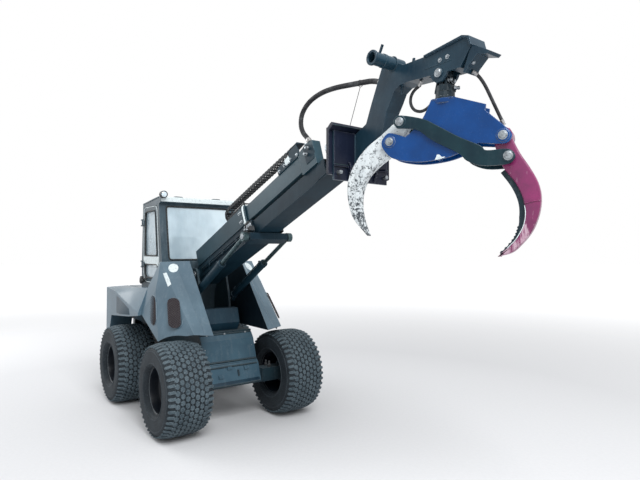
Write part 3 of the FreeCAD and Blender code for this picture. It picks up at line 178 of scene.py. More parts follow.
def outward(points, groups):
    """Turns a closed shape's faces outwards: the sum of each fan triangle's triple product is positive."""
    volume = 0.0
    for faces in groups:
        for step in range(1, faces.shape[1] - 1):
            first, second, third = (points[faces[:, k]] for k in (0, step, step + 1))
            volume += np.einsum("ij,ij->", first, np.cross(second, third))
    return groups if volume > 0 else [faces[:, ::-1] for faces in groups]


def lofted(rings, capped=True):
    """A skin over rings (n, m, 3): point (i, j) joins (i + 1, j) and (i, j + 1), round each ring.
    The end rings are closed by a flat face, or joined to each other where it isn't capped."""
    rings = np.asarray(rings, float)
    count, around = rings.shape[:2]
    row = np.arange(count - 1 if capped else count)[:, None]
    column = np.arange(around)[None, :]
    after, beside = (row + 1) % count, (column + 1) % around
    quads = np.stack([row * around + column, row * around + beside,
                      after * around + beside, after * around + column], -1).reshape(-1, 4)
    groups = [quads]
    if capped:
        groups += [np.arange(around)[None, ::-1], (count - 1) * around + np.arange(around)[None, :]]
    points = rings.reshape(-1, 3)
    return points, outward(points, groups)


def tube(path, radius, sides=16, start=0.0):
    """A round tube along a path: point = path + radius (cos a N + sin a B), where N is square to the
    path and to the machine's cross axis. Radius is one number or one for each path point."""
    path = np.asarray(path, float)
    along = np.gradient(path, axis=0)
    along /= np.linalg.norm(along, axis=1)[:, None]
    hint = np.array([0.0, 1.0, 0.0]) if abs(along[:, 1]).max() < 0.9 else np.array([0.0, 0.0, 1.0])
    normal = np.cross(along, hint)
    normal /= np.linalg.norm(normal, axis=1)[:, None]
    side = np.cross(along, normal)
    turn = start + np.linspace(0, 2 * np.pi, sides, endpoint=False)
    radius = np.broadcast_to(np.asarray(radius, float), (len(path),))
    rings = path[:, None] + radius[:, None, None] * (
        np.cos(turn)[None, :, None] * normal[:, None] + np.sin(turn)[None, :, None] * side[:, None])
    return lofted(rings)


def together(*shapes):
    """Several shapes as one: their points in one list, and each one's faces counted on from the last."""
    start, points, groups = 0, [], []
    for shape_points, shape_groups in shapes:
        points.append(shape_points)
        groups += [faces + start for faces in shape_groups]
        start += len(shape_points)
    return np.concatenate(points), groups


def piece(name, shape, finish, body, replaces=(), crease=32.0):
    """An object from a shape, smooth up to the crease angle, that rides on a body (or none)."""
    points, groups = shape
    mesh = bpy.data.meshes.new(name)
    mesh.from_pydata(points.tolist(), [], [face for faces in groups for face in faces.tolist()])
    mesh.shade_smooth()
    mesh.set_sharp_from_angle(angle=math.radians(crease))
    mesh.materials.append(finish.material)
    made = bpy.data.objects.new(name, mesh)
    bpy.context.scene.collection.objects.link(made)
    if body:
        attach(made, body)
    if replaces:
        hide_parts(*replaces)
    return made


# The guard is wound round the hose, so its ridges are part of the tube's radius
sleeve = Finish("hose_sleeve", Roughness=0.55, Specular_IOR_Level=0.25)
sleeve_place = sleeve.place()
sleeve_dirt = sleeve.noise(22, 6, 0.6, sleeve_place)
sleeve_grey = sleeve.ramp(sleeve_dirt, 0.45, 0.75)
sleeve.feed("Base Color", sleeve.mix(sleeve_grey, (0.012, 0.013, 0.016), (0.075, 0.08, 0.085)))
sleeve.feed("Roughness", 0.42 + 0.3 * sleeve_dirt)
sleeve.relief(sleeve.noise(420, 3, 0.6, sleeve_place), 0.0008, 0.6)

ferrule_steel = Finish("ferrule_steel", Metallic=0.9, Roughness=0.35)
ferrule_place = ferrule_steel.place()
ferrule_dirt = ferrule_steel.noise(60, 5, 0.6, ferrule_place)
ferrule_grey = ferrule_steel.ramp(ferrule_dirt, 0.4, 0.7)
ferrule_steel.feed("Base Color", ferrule_steel.mix(ferrule_grey, (0.5, 0.5, 0.5), (0.12, 0.12, 0.12)))
ferrule_steel.feed("Roughness", 0.28 + 0.4 * ferrule_dirt)
ferrule_steel.relief(ferrule_dirt, 0.0005, 0.5, 0.001)

ferrule_stations = np.array([0.0, 0.004, 0.005, 0.012, 0.013, 0.030, 0.031])[:, None]
ferrule_shares = np.array([1.28, 1.28, 1.02, 1.02, 1.16, 1.16, 1.0])
# Name, CAD node, radius, real length, ridge pitch, ridge height, bodies at its ends, and the route in
# millimetres from the tilt pivot
hose_table = (
    ("hose_loop_sleeve", "hose_loop", 0.018, 1.181, 0.014, 0.0018, ("boom_inner", "carriage"), [
        (-269.4, -80, 83.4), (-316, -72, 130), (-382, -62, 174), (-430, -52, 246), (-426, -44, 334),
        (-345, -34, 408), (-205, -25, 440), (-60, -18, 438), (75, -12, 422), (205, -6, 406),
        (318, -2, 390), (399, 0, 352.2)]),
    ("hose_left_line", "hose_left", 0.009, 0.376, 0.008, 0.0003, ("carriage", "hanger"), [
        (716, -18, 275), (700, -18, 250), (662, -17, 240), (630, -14, 210), (624, -10, 166),
        (648, -6, 126), (694, -2, 107), (738, 0, 114), (774, 0, 134.5), (812.3, 0, 154.4)]),
    ("hose_right_line", "hose_right", 0.009, 0.324, 0.008, 0.0003, ("carriage", "hanger"), [
        (1049.7, 0, 239.4), (1071, 12, 220), (1091, 40, 172), (1110, 62, 108), (1130, 90, 34),
        (1149, 122, -40)]))
for name, node, radius, length, pitch, ridge, (first_body, last_body), route in hose_table:
    curve = bpy.data.curves.new(name + "_route", "CURVE")
    curve.dimensions = "3D"
    curve.resolution_u = 24
    spline = curve.splines.new("NURBS")
    route = tilt_pivot + np.array(route) / 1000
    spline.points.add(len(route) - 1)
    spline.points.foreach_set("co", np.c_[route, np.ones(len(route))].ravel())
    spline.order_u = 3
    spline.use_endpoint_u = True
    holder = bpy.data.objects.new(name + "_route", curve)
    line = bpy.data.meshes.new_from_object(holder)
    path = np.array([v.co for v in line.vertices])
    bpy.data.objects.remove(holder)
    step = np.linalg.norm(np.diff(path, axis=0), axis=1)
    reach = np.concatenate([[0.0], np.cumsum(step)])
    rows = int(reach[-1] / (pitch / 6))
    spread = np.linspace(0, reach[-1], rows)
    path = np.stack([np.interp(spread, reach, path[:, axis]) for axis in range(3)], 1)
    ripple = radius - ridge * (0.5 + 0.5 * np.cos(2 * np.pi * spread / pitch)) ** 2
    hose = piece(name, tube(path, ripple, 20), sleeve, None, (node,), 60)
    ends = []
    for end_name, body, spot, inward in (
            ("start", first_body, path[0], path[3] - path[0]), ("end", last_body, path[-1], path[-4] - path[-1])):
        inward = inward / np.linalg.norm(inward)
        ferrule_line = spot + inward * ferrule_stations * (radius / 0.009) ** 0.5
        ends.append(piece(f"{name}_{end_name}_ferrule", tube(ferrule_line, radius * ferrule_shares, 12),
                          ferrule_steel, body))
    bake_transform(hose)


# Studio: a plain pale floor that fades into a white surround, one large soft lamp above and ahead of
# the machine, and an even sky. Floor and surround are seen white by the camera and in reflections.
floor_finish = Finish("studio_floor", Roughness=0.9)
away = floor_finish.node("ShaderNodeVectorMath", {"operation": "LENGTH"}, {0: floor_finish.place()}, "Value")
speckle = floor_finish.noise(35, 6, 0.7)
floor_finish.feed("Base Color", floor_finish.mix(speckle, (0.66, 0.67, 0.69), (0.74, 0.75, 0.77)))
far_off = floor_finish.ramp(away, 4.0, 12.0)
floor_finish.feed("Emission Color", floor_finish.mix(far_off, (0.0, 0.0, 0.0), (0.56, 0.56, 0.56)))
floor_finish.shader.inputs["Emission Strength"].default_value = 1.0
floor_side = 60.0
corners = np.array([[-floor_side, -floor_side, 0], [floor_side, -floor_side, 0],
                    [floor_side, floor_side, 0], [-floor_side, floor_side, 0]], float)
floor = piece("floor", (corners, [np.array([[0, 1, 2, 3]])]), floor_finish, None)
world = bpy.data.worlds.new("surround")
bpy.context.scene.world = world
world.use_nodes = True
sky = world.node_tree.nodes["Background"]
ray_kind = world.node_tree.nodes.new("ShaderNodeLightPath")
straight, mirrored, passed = (Field(world.node_tree, ray_kind.outputs[name]) for name in (
    "Is Camera Ray", "Is Glossy Ray", "Is Transmission Ray"))
sky_strength = (0.62 + 0.38 * (straight + (mirrored + passed))).up_to_one()
world.node_tree.links.new(sky_strength.socket, sky.inputs["Strength"])
sky.inputs["Color"].default_value = (1.0, 1.0, 1.0, 1.0)
for lamp_name, spot, aim, side, power in (
        ("key_lamp", (5.2, -1.2, 6.8), (-0.3, 0.0, 1.2), 4.0, 560.0),
        ("fill_lamp", (-6.0, -3.0, 4.5), (-1.0, 0.0, 1.0), 4.0, 160.0)):
    lamp_data = bpy.data.lights.new(lamp_name, "AREA")
    lamp_data.size = side
    lamp_data.energy = power
    studio_lamp = bpy.data.objects.new(lamp_name, lamp_data)
    bpy.context.scene.collection.objects.link(studio_lamp)
    studio_lamp.location = spot
    aimed = np.array(spot) - np.array(aim)
    studio_lamp.rotation_euler = (math.acos(aimed[2] / np.linalg.norm(aimed)), 0.0,
                                  math.atan2(aimed[1], aimed[0]) + math.pi / 2)


# Tyres: wide turf tyres, moulded black rubber. A smooth carcass is turned about the axle, and small
# six-sided blocks stand on its crown in staggered rows, with longer bars on the shoulders.
front_axle, rear_axle = -0.50057, -1.80157
wheel_table = (("front_right", front_axle, -1), ("front_left", front_axle, 1),
               ("rear_right", rear_axle, -1), ("rear_left", rear_axle, 1))
tyre_radius, wheel_y = 0.3935, 0.561
tread_depth = 0.009


def crown(across):
    """Radius of the bare carcass under the tread: the tyre's radius less a drop that grows with the
    distance from the middle to the power 4.7."""
    return tyre_radius - tread_depth - 0.001 - 0.004 * np.minimum(np.abs(across) / 0.121, 1.42) ** 4.73


def smooth_line(knots, steps):
    """A smooth line through knots, by cubic spans whose ends aim along the chord of the neighbours."""
    knots = np.asarray(knots, float)
    padded = np.vstack([2 * knots[0] - knots[1], knots, 2 * knots[-1] - knots[-2]])
    t = np.linspace(0, 1, steps, endpoint=False)[None, :, None]
    before, start, end, after = (padded[k:len(knots) - 1 + k][:, None] for k in range(4))
    spans = 0.5 * (2 * start + (end - before) * t + (2 * before - 5 * start + 4 * end - after) * t ** 2
                   + (3 * start - before - 3 * end + after) * t ** 3)
    return np.vstack([spans.reshape(-1, knots.shape[1]), knots[-1:]])


def turned(profile, sides=48, closed=False):
    """A profile of (distance from the axis, place along it) turned about the cross axis:
    point = (r sin a, place, r cos a)."""
    profile = np.asarray(profile, float)
    turn = np.linspace(0, 2 * np.pi, sides, endpoint=False)
    rings = np.stack([profile[:, None, 0] * np.sin(turn), np.broadcast_to(profile[:, None, 1], (len(profile), sides)),
                      profile[:, None, 0] * np.cos(turn)], -1)
    return lofted(rings, not closed)


def moved(shape, offset, mirror=1):
    """A shape moved by an offset, with its cross axis turned over first where mirror is -1."""
    points, groups = shape
    if mirror < 0:
        points = points * np.array([1.0, -1.0, 1.0])
        groups = [faces[:, ::-1] for faces in groups]
    return points + np.asarray(offset, float), groups


def tread_blocks(outline, around, across, start, depth):
    """Blocks on the crown: an outline of (along the tread, across it) at each of around places and at
    the across distance, with a chamfered top. Angle = distance along the tread / tyre radius."""
    outline = np.asarray(outline, float)
    middle = outline.mean(0)
    levels = np.array([[1.08, -0.003], [1.04, depth * 0.2], [0.98, depth * 0.82], [0.90, depth]])
    rings = middle + (outline[None] - middle) * levels[:, None, :1]
    run, cross = rings[..., 0], rings[..., 1] + across
    places = np.linspace(0, 2 * np.pi, around, endpoint=False)[:, None, None]
    turn = start + places + (run / tyre_radius)[None]
    radius = (crown(cross) + levels[:, 1:])[None]
    points = np.stack([radius * np.sin(turn), np.broadcast_to(cross[None], turn.shape), radius * np.cos(turn)], -1)
    count, corners = len(levels), len(outline)
    quads, foot, top = lofted(points[0])[1]
    offset = np.arange(around)[:, None, None] * count * corners
    return points.reshape(-1, 3), [(faces[None] + offset).reshape(-1, faces.shape[1]) for faces in (quads, foot, top)]


rubber = Finish("tyre_rubber", Roughness=0.7, Specular_IOR_Level=0.2)
rubber_place = rubber.place()
rubber_cloud = rubber.noise(7, 5, 0.6, rubber_place)
rubber_dust = rubber.noise(90, 6, 0.7, rubber_place)
rubber_grey = rubber.mix(rubber.ramp(rubber_cloud, 0.35, 0.7), (0.012, 0.017, 0.022), (0.028, 0.037, 0.045))
rubber_scuff = rubber.ramp(rubber_dust, 0.52, 0.72) * 0.55 + rubber.ramp(rubber.edges(0.004), 0.02, 0.2) * 0.6
rubber.feed("Base Color", rubber.mix(rubber_scuff.up_to_one(), rubber_grey, (0.10, 0.125, 0.145)))
rubber.feed("Roughness", 0.5 + 0.35 * rubber_dust)
rubber.relief(rubber.noise(260, 4, 0.6, rubber_place), 0.0012, 0.5, 0.0018)

block = [(-0.0245, 0.0), (-0.012, -0.0165), (0.012, -0.0165), (0.0245, 0.0), (0.012, 0.0165), (-0.012, 0.0165)]
bar = [(-0.014, -0.024), (0.012, -0.026), (0.015, 0.020), (0.004, 0.030), (-0.011, 0.024)]
sidewall = [(0.128, 0.184), (0.152, 0.196), (0.170, 0.204), (0.1895, 0.222), (0.1942, 0.262), (0.1952, 0.306),
            (0.1915, 0.334), (0.1895, 0.3445), (0.176, 0.3605)]
tread_edge = [(across, crown(across)) for across in (0.150, 0.110, 0.06, 0.0)]
half_section = smooth_line(sidewall + tread_edge, 4)
section = np.vstack([half_section, half_section[-2::-1] * np.array([-1.0, 1.0])])
carcass = turned(section[:, ::-1], 120, closed=True)
tread, walls = [], [carcass]
blocks_round, block_step = 46, 0.0405
for column in range(-3, 4):
    tread.append(tread_blocks(block, blocks_round, column * block_step, math.pi / blocks_round * (column % 2),
                              tread_depth))
for side_way in (1, -1):
    shoulder = np.array(bar) * np.array([1.0, side_way])
    tread.append(tread_blocks(shoulder, blocks_round, side_way * 0.1615, math.pi / blocks_round * 0.5,
                              tread_depth * 0.9))
    for low, high in ((0.228, 0.232), (0.325, 0.330)):
        rib = np.array([(low - 0.002, 0.1885), (low, 0.1955), (high, 0.1955), (high + 0.002, 0.1885)])
        walls.append(turned(rib * np.array([1.0, side_way]), 96, closed=True))
# The tread blocks are painted lighter than the carcass: partly worn, dusty rubber and partly a painted sheen on the
# blocks, so that the grooves between them look shaded
worn_sheen_rubber = Finish("worn_sheen_rubber", Roughness=0.7, Specular_IOR_Level=0.25)
worn_place = worn_sheen_rubber.place()
worn_cloud = worn_sheen_rubber.noise(9, 5, 0.65, worn_place)
worn_grain = worn_sheen_rubber.noise(120, 6, 0.7, worn_place)
worn_sheen_grey = worn_sheen_rubber.mix(worn_sheen_rubber.ramp(worn_cloud, 0.35, 0.68), (0.024, 0.042, 0.055), (0.070, 0.100, 0.120))
worn_edge = worn_sheen_rubber.ramp(worn_sheen_rubber.edges(0.003), 0.02, 0.16)
worn_scuff = (worn_sheen_rubber.ramp(worn_grain, 0.45, 0.70) * 0.5 + worn_edge * 0.6).up_to_one()
worn_sheen_rubber.feed("Base Color", worn_sheen_rubber.mix(worn_scuff, worn_sheen_grey, (0.20, 0.25, 0.28)))
worn_sheen_rubber.feed("Roughness", 0.5 + 0.3 * worn_grain)
worn_sheen_rubber.relief(worn_grain, 0.0010, 0.5, 0.0015)
for name, axle_x, sign in wheel_table:
    piece("tyre_blocks_" + name, moved(together(*tread), (axle_x, sign * wheel_y, tyre_radius), sign), worn_sheen_rubber,
          "wheel_" + name, crease=30)
    piece("tyre_carcass_" + name, moved(together(*walls), (axle_x, sign * wheel_y, tyre_radius), sign), rubber,
          "wheel_" + name, ("tyre_" + name,), 30)


# Rims: pressed and rolled steel, satin black, deep dished on the outside. A ring of nuts holds each
# to its hub, under a round cap.
rim_black = Finish("rim_black", Roughness=0.4, Specular_IOR_Level=0.3)
rim_place = rim_black.place()
rim_cloud = rim_black.noise(16, 5, 0.6, rim_place)
rim_chips = rim_black.ramp(rim_black.edges(0.003) * (0.4 + rim_cloud), 0.05, 0.18)
rim_black.feed("Base Color", rim_black.mix(rim_chips, (0.004, 0.007, 0.012), (0.16, 0.19, 0.21)))
rim_black.feed("Roughness", 0.24 + 0.35 * rim_cloud)
rim_black.feed("Metallic", rim_chips * 0.7)
rim_black.relief(rim_black.noise(130, 4, 0.6, rim_place), 0.0006, 0.4, 0.0015)

zinc = Finish("zinc_steel", Metallic=1.0, Roughness=0.3)
zinc_place = zinc.place()
zinc_cloud = zinc.noise(70, 5, 0.65, zinc_place)
zinc.feed("Base Color", zinc.mix(zinc.ramp(zinc_cloud, 0.42, 0.7), (0.38, 0.42, 0.45), (0.14, 0.15, 0.16)))
zinc.feed("Roughness", 0.25 + 0.35 * zinc_cloud)
zinc.relief(zinc_cloud, 0.0006, 0.5, 0.0012)


def standing(shape, spots):
    """Copies of a shape that was drawn along the cross axis, one upright at each spot."""
    return facing(shape, spots, (0, 0, 1), (0, 1, 0))


def facing(shape, spots, axis, up=(0.0, 0.0, 1.0)):
    """Copies of a shape that was drawn along the cross axis, one at each spot, with its own -Y side
    turned to face along axis."""
    points, groups = shape
    axis = np.asarray(axis, float) / np.linalg.norm(axis)
    side = np.cross(np.asarray(up, float), axis)
    side = side / np.linalg.norm(side)
    frame_of = np.stack([side, -axis, np.cross(side, -axis)], 1)
    spots = np.asarray(spots, float).reshape(-1, 3)
    turned_points = points @ frame_of.T
    copies = (turned_points[None] + spots[:, None]).reshape(-1, 3)
    offset = np.arange(len(spots))[:, None, None] * len(points)
    groups = [(faces[None] + offset).reshape(-1, faces.shape[1]) for faces in groups]
    return copies, outward(copies, groups)


def bolt(size, height=0.6, washer=1.7):
    """A hexagon head of that size across its corners on a washer, from its seat outwards to -Y."""
    half = size / 2
    rim = half * washer
    washer_part = turned([(rim, 0.004), (rim, -size * 0.09), (rim * 0.94, -size * 0.13)], 16)
    head = turned([(half, 0.0), (half, -size * height), (half * 0.88, -size * (height + 0.06))], 6)
    return together(washer_part, head)


rim_profile = smooth_line([
    (0.204, -0.158), (0.2065, -0.1545), (0.2045, -0.150), (0.1925, -0.147), (0.1895, -0.128), (0.1895, 0.128),
    (0.1925, 0.147), (0.2045, 0.150), (0.2065, 0.1545), (0.204, 0.158)], 2)
rim_inside = [(0.196, 0.156), (0.1885, 0.148), (0.1835, 0.126), (0.1835, -0.042), (0.176, -0.045), (0.060, -0.046),
              (0.058, -0.056), (0.150, -0.057), (0.166, -0.060), (0.178, -0.072), (0.183, -0.090), (0.1835, -0.126),
              (0.1885, -0.148), (0.196, -0.156)]
rim_shape = turned(np.vstack([rim_profile, rim_inside]), 72, closed=True)
hub_cap = turned([(0.028, -0.072), (0.034, -0.070), (0.036, -0.064), (0.044, -0.062), (0.0625, -0.060),
                  (0.0625, 0.034), (0.0355, 0.034), (0.0355, -0.05)], 40, closed=True)
cap_disc = turned([(0.0355, -0.060), (0.034, -0.070), (0.028, -0.074), (0.006, -0.076)], 32)
nut_turn = np.linspace(0, 2 * np.pi, 8, endpoint=False)
nut_spots = np.stack([0.102 * np.sin(nut_turn), np.full(8, -0.056), 0.102 * np.cos(nut_turn)], 1)
nuts = facing(bolt(0.026, 0.75, 1.5), nut_spots, (0, -1, 0))
valve = facing(turned([(0.005, 0.0), (0.005, -0.026), (0.0035, -0.030)], 10), [(0.0, -0.066, 0.168)], (0, -1, 0))
for name, axle_x, sign in wheel_table:
    centre = (axle_x, sign * wheel_y, tyre_radius)
    piece("rim_dish_" + name, moved(together(rim_shape, hub_cap, cap_disc), centre, -sign), rim_black,
          "wheel_" + name, ("rim_" + name,), 28)
    piece("rim_nuts_" + name, moved(together(nuts, valve), centre, -sign), zinc, "wheel_" + name)


# Chassis: a welded steel tub with a folded front panel, a valve cover on the deck between the towers
# and a motor case for each wheel, all in dark satin paint that has gathered dust.
def painted(name, colour, shade, dust=0.3, chips=0.5, chip_colour=(0.26, 0.28, 0.29), rough=0.42,
            dust_colour=(0.30, 0.35, 0.38), cloud_scale=3.5, edge=0.0025, coat=0.0, spots=0.68, gloss=0.22):
    """Paint on steel. Colour and shade are mixed by slow clouds. Dust is thicker on faces that look
    up and in runs down the sides. Chips gather where a rounded edge leans from its face."""
    paint = Finish(name, Coat_Weight=coat, Coat_Roughness=0.12, Specular_IOR_Level=gloss)
    place = paint.place()
    cloud = paint.noise(cloud_scale, 4, 0.55, place)
    fine = paint.noise(60, 6, 0.7, place)
    drawn_out = paint.node("ShaderNodeMapping", {}, {"Vector": place, "Scale": (1.0, 1.0, 0.14)})
    runs = paint.noise(26, 4, 0.6, drawn_out)
    settled = paint.ramp(paint.facing_up(), 0.15, 0.95) * 0.55 + paint.ramp(runs * 0.6 + fine * 0.4, 0.5, 0.7) * 0.5
    base = paint.mix(paint.ramp(cloud, 0.35, 0.68), colour, shade)
    base = paint.mix(settled * dust, base, dust_colour)
    chip = paint.ramp(paint.edges(edge * 1.5) * (0.25 + 1.3 * fine), 0.05, 0.2)
    fleck = paint.ramp(paint.noise(30, 9, 0.78, place), spots, spots + 0.03)
    chip = (chip + fleck * 0.6).up_to_one() * chips
    paint.feed("Base Color", paint.mix(chip, base, chip_colour))
    paint.feed("Roughness", rough + 0.28 * settled * dust + 0.12 * (fine - 0.5))
    paint.feed("Metallic", chip * 0.5)
    paint.relief(fine * 0.5 + paint.noise(240, 3, 0.5, place) * 0.5 - chip * 0.5, 0.0007, 0.35, edge)
    return paint


chassis_paint = painted("chassis_paint", (0.018, 0.040, 0.052), (0.010, 0.022, 0.032), dust=0.22, chips=0.45, rough=0.4)
chassis_paint.cover("chassis_frame", "hub_motors", "rear_bumper", "boom_pivot")
front_paint = painted("front_paint", (0.045, 0.105, 0.150), (0.028, 0.070, 0.105), dust=0.25, chips=0.35, rough=0.34)
front_paint.cover("front_panel")
# A darker copy of the front panel's paint: painted shade of the recesses, on the bulkhead, the front panel's lower
# plate and a panel in each side box's flank
recess_shade_paint = painted("recess_shade_paint", (0.010, 0.038, 0.062), (0.006, 0.022, 0.040), dust=0.12, chips=0.3, rough=0.38)
recess_shade_paint.cover("front_bulkhead")
engine_iron = painted("engine_iron", (0.035, 0.036, 0.038), (0.02, 0.02, 0.022), dust=0.45, chips=0.3, rough=0.65)
engine_iron.cover("engine_block")


def rect(left, low, right, high):
    """The four corners of a rectangle, from the low left one round."""
    return [(left, low), (right, low), (right, high), (left, high)]


def beveled(outline, low, high, chamfer=0.003, axis=1):
    """A plate: a closed outline of two coordinates carried from low to high along an axis, with its
    corners drawn in by the chamfer along each corner's own normal at both faces."""
    outline = np.asarray(outline, float)
    edge = np.roll(outline, -1, 0) - outline
    edge /= np.linalg.norm(edge, axis=1)[:, None]
    normal = np.stack([edge[:, 1], -edge[:, 0]], 1)
    corner = normal + np.roll(normal, 1, 0)
    corner /= np.maximum(np.linalg.norm(corner, axis=1), 0.7)[:, None]
    turning = np.sum(outline[:, 0] * np.roll(outline[:, 1], -1) - outline[:, 1] * np.roll(outline[:, 0], -1))
    drawn = outline - corner * chamfer * np.sign(turning)
    rings = []
    for flat, level in ((drawn, low), (outline, low + chamfer), (outline, high - chamfer), (drawn, high)):
        rings.append(np.insert(flat, axis, level, axis=1))
    return lofted(rings)


# The ledge's lip bar with its row of bolts, the sloped panel's foot bar, the latch and small blocks
panel_half = 0.262
lip_line = [(-0.176, 0.772), (-0.154, 0.772), (-0.150, 0.779), (-0.156, 0.786), (-0.176, 0.786)]
foot_line = [(-0.062, 0.536), (-0.046, 0.531), (-0.040, 0.541), (-0.056, 0.549)]
toe_line = [(0.026, 0.330), (0.046, 0.330), (0.050, 0.345), (0.030, 0.352)]
panel_bars = [beveled(line, -panel_half, panel_half, 0.0015) for line in (lip_line, foot_line, toe_line)]
panel_bars += [beveled([(-0.020, 0.498), (-0.010, 0.494), (-0.009, 0.503), (-0.018, 0.508)], -0.250, 0.250, 0.001)]
piece("front_panel_bars", moved(together(*panel_bars), (front_axle, 0, 0)), chassis_paint, "chassis")
lip_bolts = facing(bolt(0.011), [(front_axle - 0.1505, y, 0.779) for y in (-0.20, -0.02, 0.20)], (1, 0, 0))
foot_bolts = facing(bolt(0.010), [(front_axle - 0.1, y, 0.655) for y in (-0.24, 0.24)], (0.95, 0, 0.31))
piece("front_panel_bolts", together(lip_bolts, foot_bolts), zinc, "chassis")
latch = together(
    beveled(rect(-0.03, -0.026, 0.03, 0.026), 0.0, 0.006, 0.002),
    beveled(rect(-0.008, -0.040, 0.008, 0.018), -0.014, 0.0, 0.002))
lower_lean = (0.95, 0.0, 0.30)
piece("panel_latch", facing(latch, [(front_axle - 0.001, 0.045, 0.445)], lower_lean), chassis_paint, "chassis")
block = beveled(rect(-0.022, -0.014, 0.022, 0.014), -0.012, 0.006, 0.002)
piece("panel_blocks", facing(block, [(front_axle - 0.012, -0.04, 0.485), (front_axle - 0.005, 0.13, 0.47),
                                     (front_axle + 0.012, -0.135, 0.420)], lower_lean), front_paint, "chassis")
# Motor flanges: a ring of bolts on each, with two port fittings on the case
for name, axle_x, sign in wheel_table:
    bolt_circle, flange_face = 0.078, wheel_y - 0.0653
    bolt_turn = np.linspace(0, 2 * np.pi, 6, endpoint=False) + 0.3
    spots = np.stack([axle_x + bolt_circle * np.cos(bolt_turn), np.full(6, sign * flange_face),
                      tyre_radius + bolt_circle * np.sin(bolt_turn)], 1)
    ports = standing(together(turned([(0.016, 0.004), (0.016, -0.022), (0.013, -0.026)], 6),
                              turned([(0.010, -0.022), (0.010, -0.050), (0.007, -0.054)], 16)),
                     [(axle_x + shift, sign * 0.36, tyre_radius + 0.062) for shift in (-0.03, 0.03)])
    piece("motor_bolts_" + name, together(facing(bolt(0.018), spots, (0, -sign, 0)), ports), engine_iron, "chassis")


# Body panels: creased sheet-steel towers over the front wheels, bevelled side boxes over the rear
# ones, and the engine cover with its rear door, all in charcoal satin paint with a blue cast.
body_paint = painted("body_paint", (0.088, 0.150, 0.198), (0.060, 0.108, 0.148), dust=0.3, chips=0.35,
                     chip_colour=(0.33, 0.36, 0.37), rough=0.33, coat=0.15, cloud_scale=2.2, spots=0.71)
body_paint.cover("side_box_right", "side_box_left", "engine_hood", "rear_door")


def laid_on(target, points, direction):
    """Where lines from points along a direction first meet a mesh or a CAD node: the places, and the
    normal there, turned against the direction. A line that misses takes the mean depth of the rest."""
    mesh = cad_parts[target].data if isinstance(target, str) else target
    tree = BVHTree.FromPolygons([v.co for v in mesh.vertices], [p.vertices for p in mesh.polygons])
    points, direction = np.asarray(points, float), np.asarray(direction, float)
    direction = direction / np.linalg.norm(direction)
    hits = [tree.ray_cast(Vector(p - direction * 0.5), Vector(direction)) for p in points]
    depth = np.array([np.nan if h[0] is None else h[3] for h in hits])
    depth = np.where(np.isnan(depth), np.nanmean(depth), depth)
    normal = np.array([(0.0, 0.0, 0.0) if h[1] is None else tuple(h[1]) for h in hits]).sum(0)
    normal /= np.linalg.norm(normal)
    normal *= -np.sign(normal @ direction)
    return points + direction * (depth - 0.5)[:, None], normal


def sheet_on(node, points, direction, thick=0.003, sunk=0.002):
    """A thin plate that lies on a CAD node: its outline is thrown on the node along a direction."""
    spots, normal = laid_on(node, points, direction)
    middle = spots.mean(0)
    edge = middle + (spots - middle) * (1 - min(0.4, thick / np.linalg.norm(spots - middle, axis=1).mean()))
    return lofted([spots - normal * sunk, spots + normal * thick * 0.6, edge + normal * thick])


# The front panel's lower plate takes the darker recess paint: painted shade low on the panel
lower_plate = [[front_axle + 0.2, y, z] for y, z in ((-0.255, 0.352), (0.255, 0.352), (0.255, 0.524), (-0.255, 0.524))]
piece("front_lower_plate", sheet_on("front_panel", lower_plate, (-1, 0, 0), 0.002), recess_shade_paint, "chassis")
pale_plate = Finish("pale_plate", Roughness=0.4)
pale_place = pale_plate.place()
pale_dirt = pale_plate.noise(45, 7, 0.7, pale_place)
pale_grey = pale_plate.ramp(pale_dirt, 0.5, 0.78)
pale_plate.feed("Base Color", pale_plate.mix(pale_grey, (0.66, 0.74, 0.76), (0.30, 0.34, 0.36)))
pale_plate.feed("Roughness", 0.3 + 0.35 * pale_dirt)
pale_plate.relief(pale_dirt, 0.0005, 0.3, 0.001)
# Dark brown: the grille's own reddish brown, darkened as painted shade of the recess behind the ovals
grille_brown_and_shade = painted("grille_brown_and_shade", (0.030, 0.020, 0.024), (0.016, 0.012, 0.016), dust=0.35, chips=0.3,
                       dust_colour=(0.10, 0.085, 0.09), rough=0.6)


def oval(centre_x, centre_z, half_wide, half_tall, count=48):
    """Two half circles joined by straight sides: a circle whose halves are moved apart."""
    turn = 2 * np.pi * (np.arange(count) + 0.5) / count
    lift = np.where(np.sin(turn) > 0, half_tall - half_wide, half_wide - half_tall)
    return np.stack([centre_x + half_wide * np.cos(turn), centre_z + half_wide * np.sin(turn) + lift], 1)


def gasket(path, radius, sides=10):
    """A round strip along a closed path: a circle about each point, square to the path."""
    path = np.asarray(path, float)
    along = np.roll(path, -1, 0) - np.roll(path, 1, 0)
    along /= np.linalg.norm(along, axis=1)[:, None]
    plane = np.linalg.svd(path - path.mean(0))[2][2]
    side = np.cross(along, plane)
    turn = np.linspace(0, 2 * np.pi, sides, endpoint=False)
    rings = path[:, None] + radius * (np.cos(turn)[None, :, None] * side[:, None] + np.sin(turn)[None, :, None] * plane)
    return lofted(rings, capped=False)


# Near-black paint: painted shade on the towers' walls towards the boom and the cab, and in the rear wheel wells
shade_black = painted("shade_black", (0.004, 0.011, 0.018), (0.002, 0.006, 0.011), dust=0.06, chips=0.15, rough=0.5)
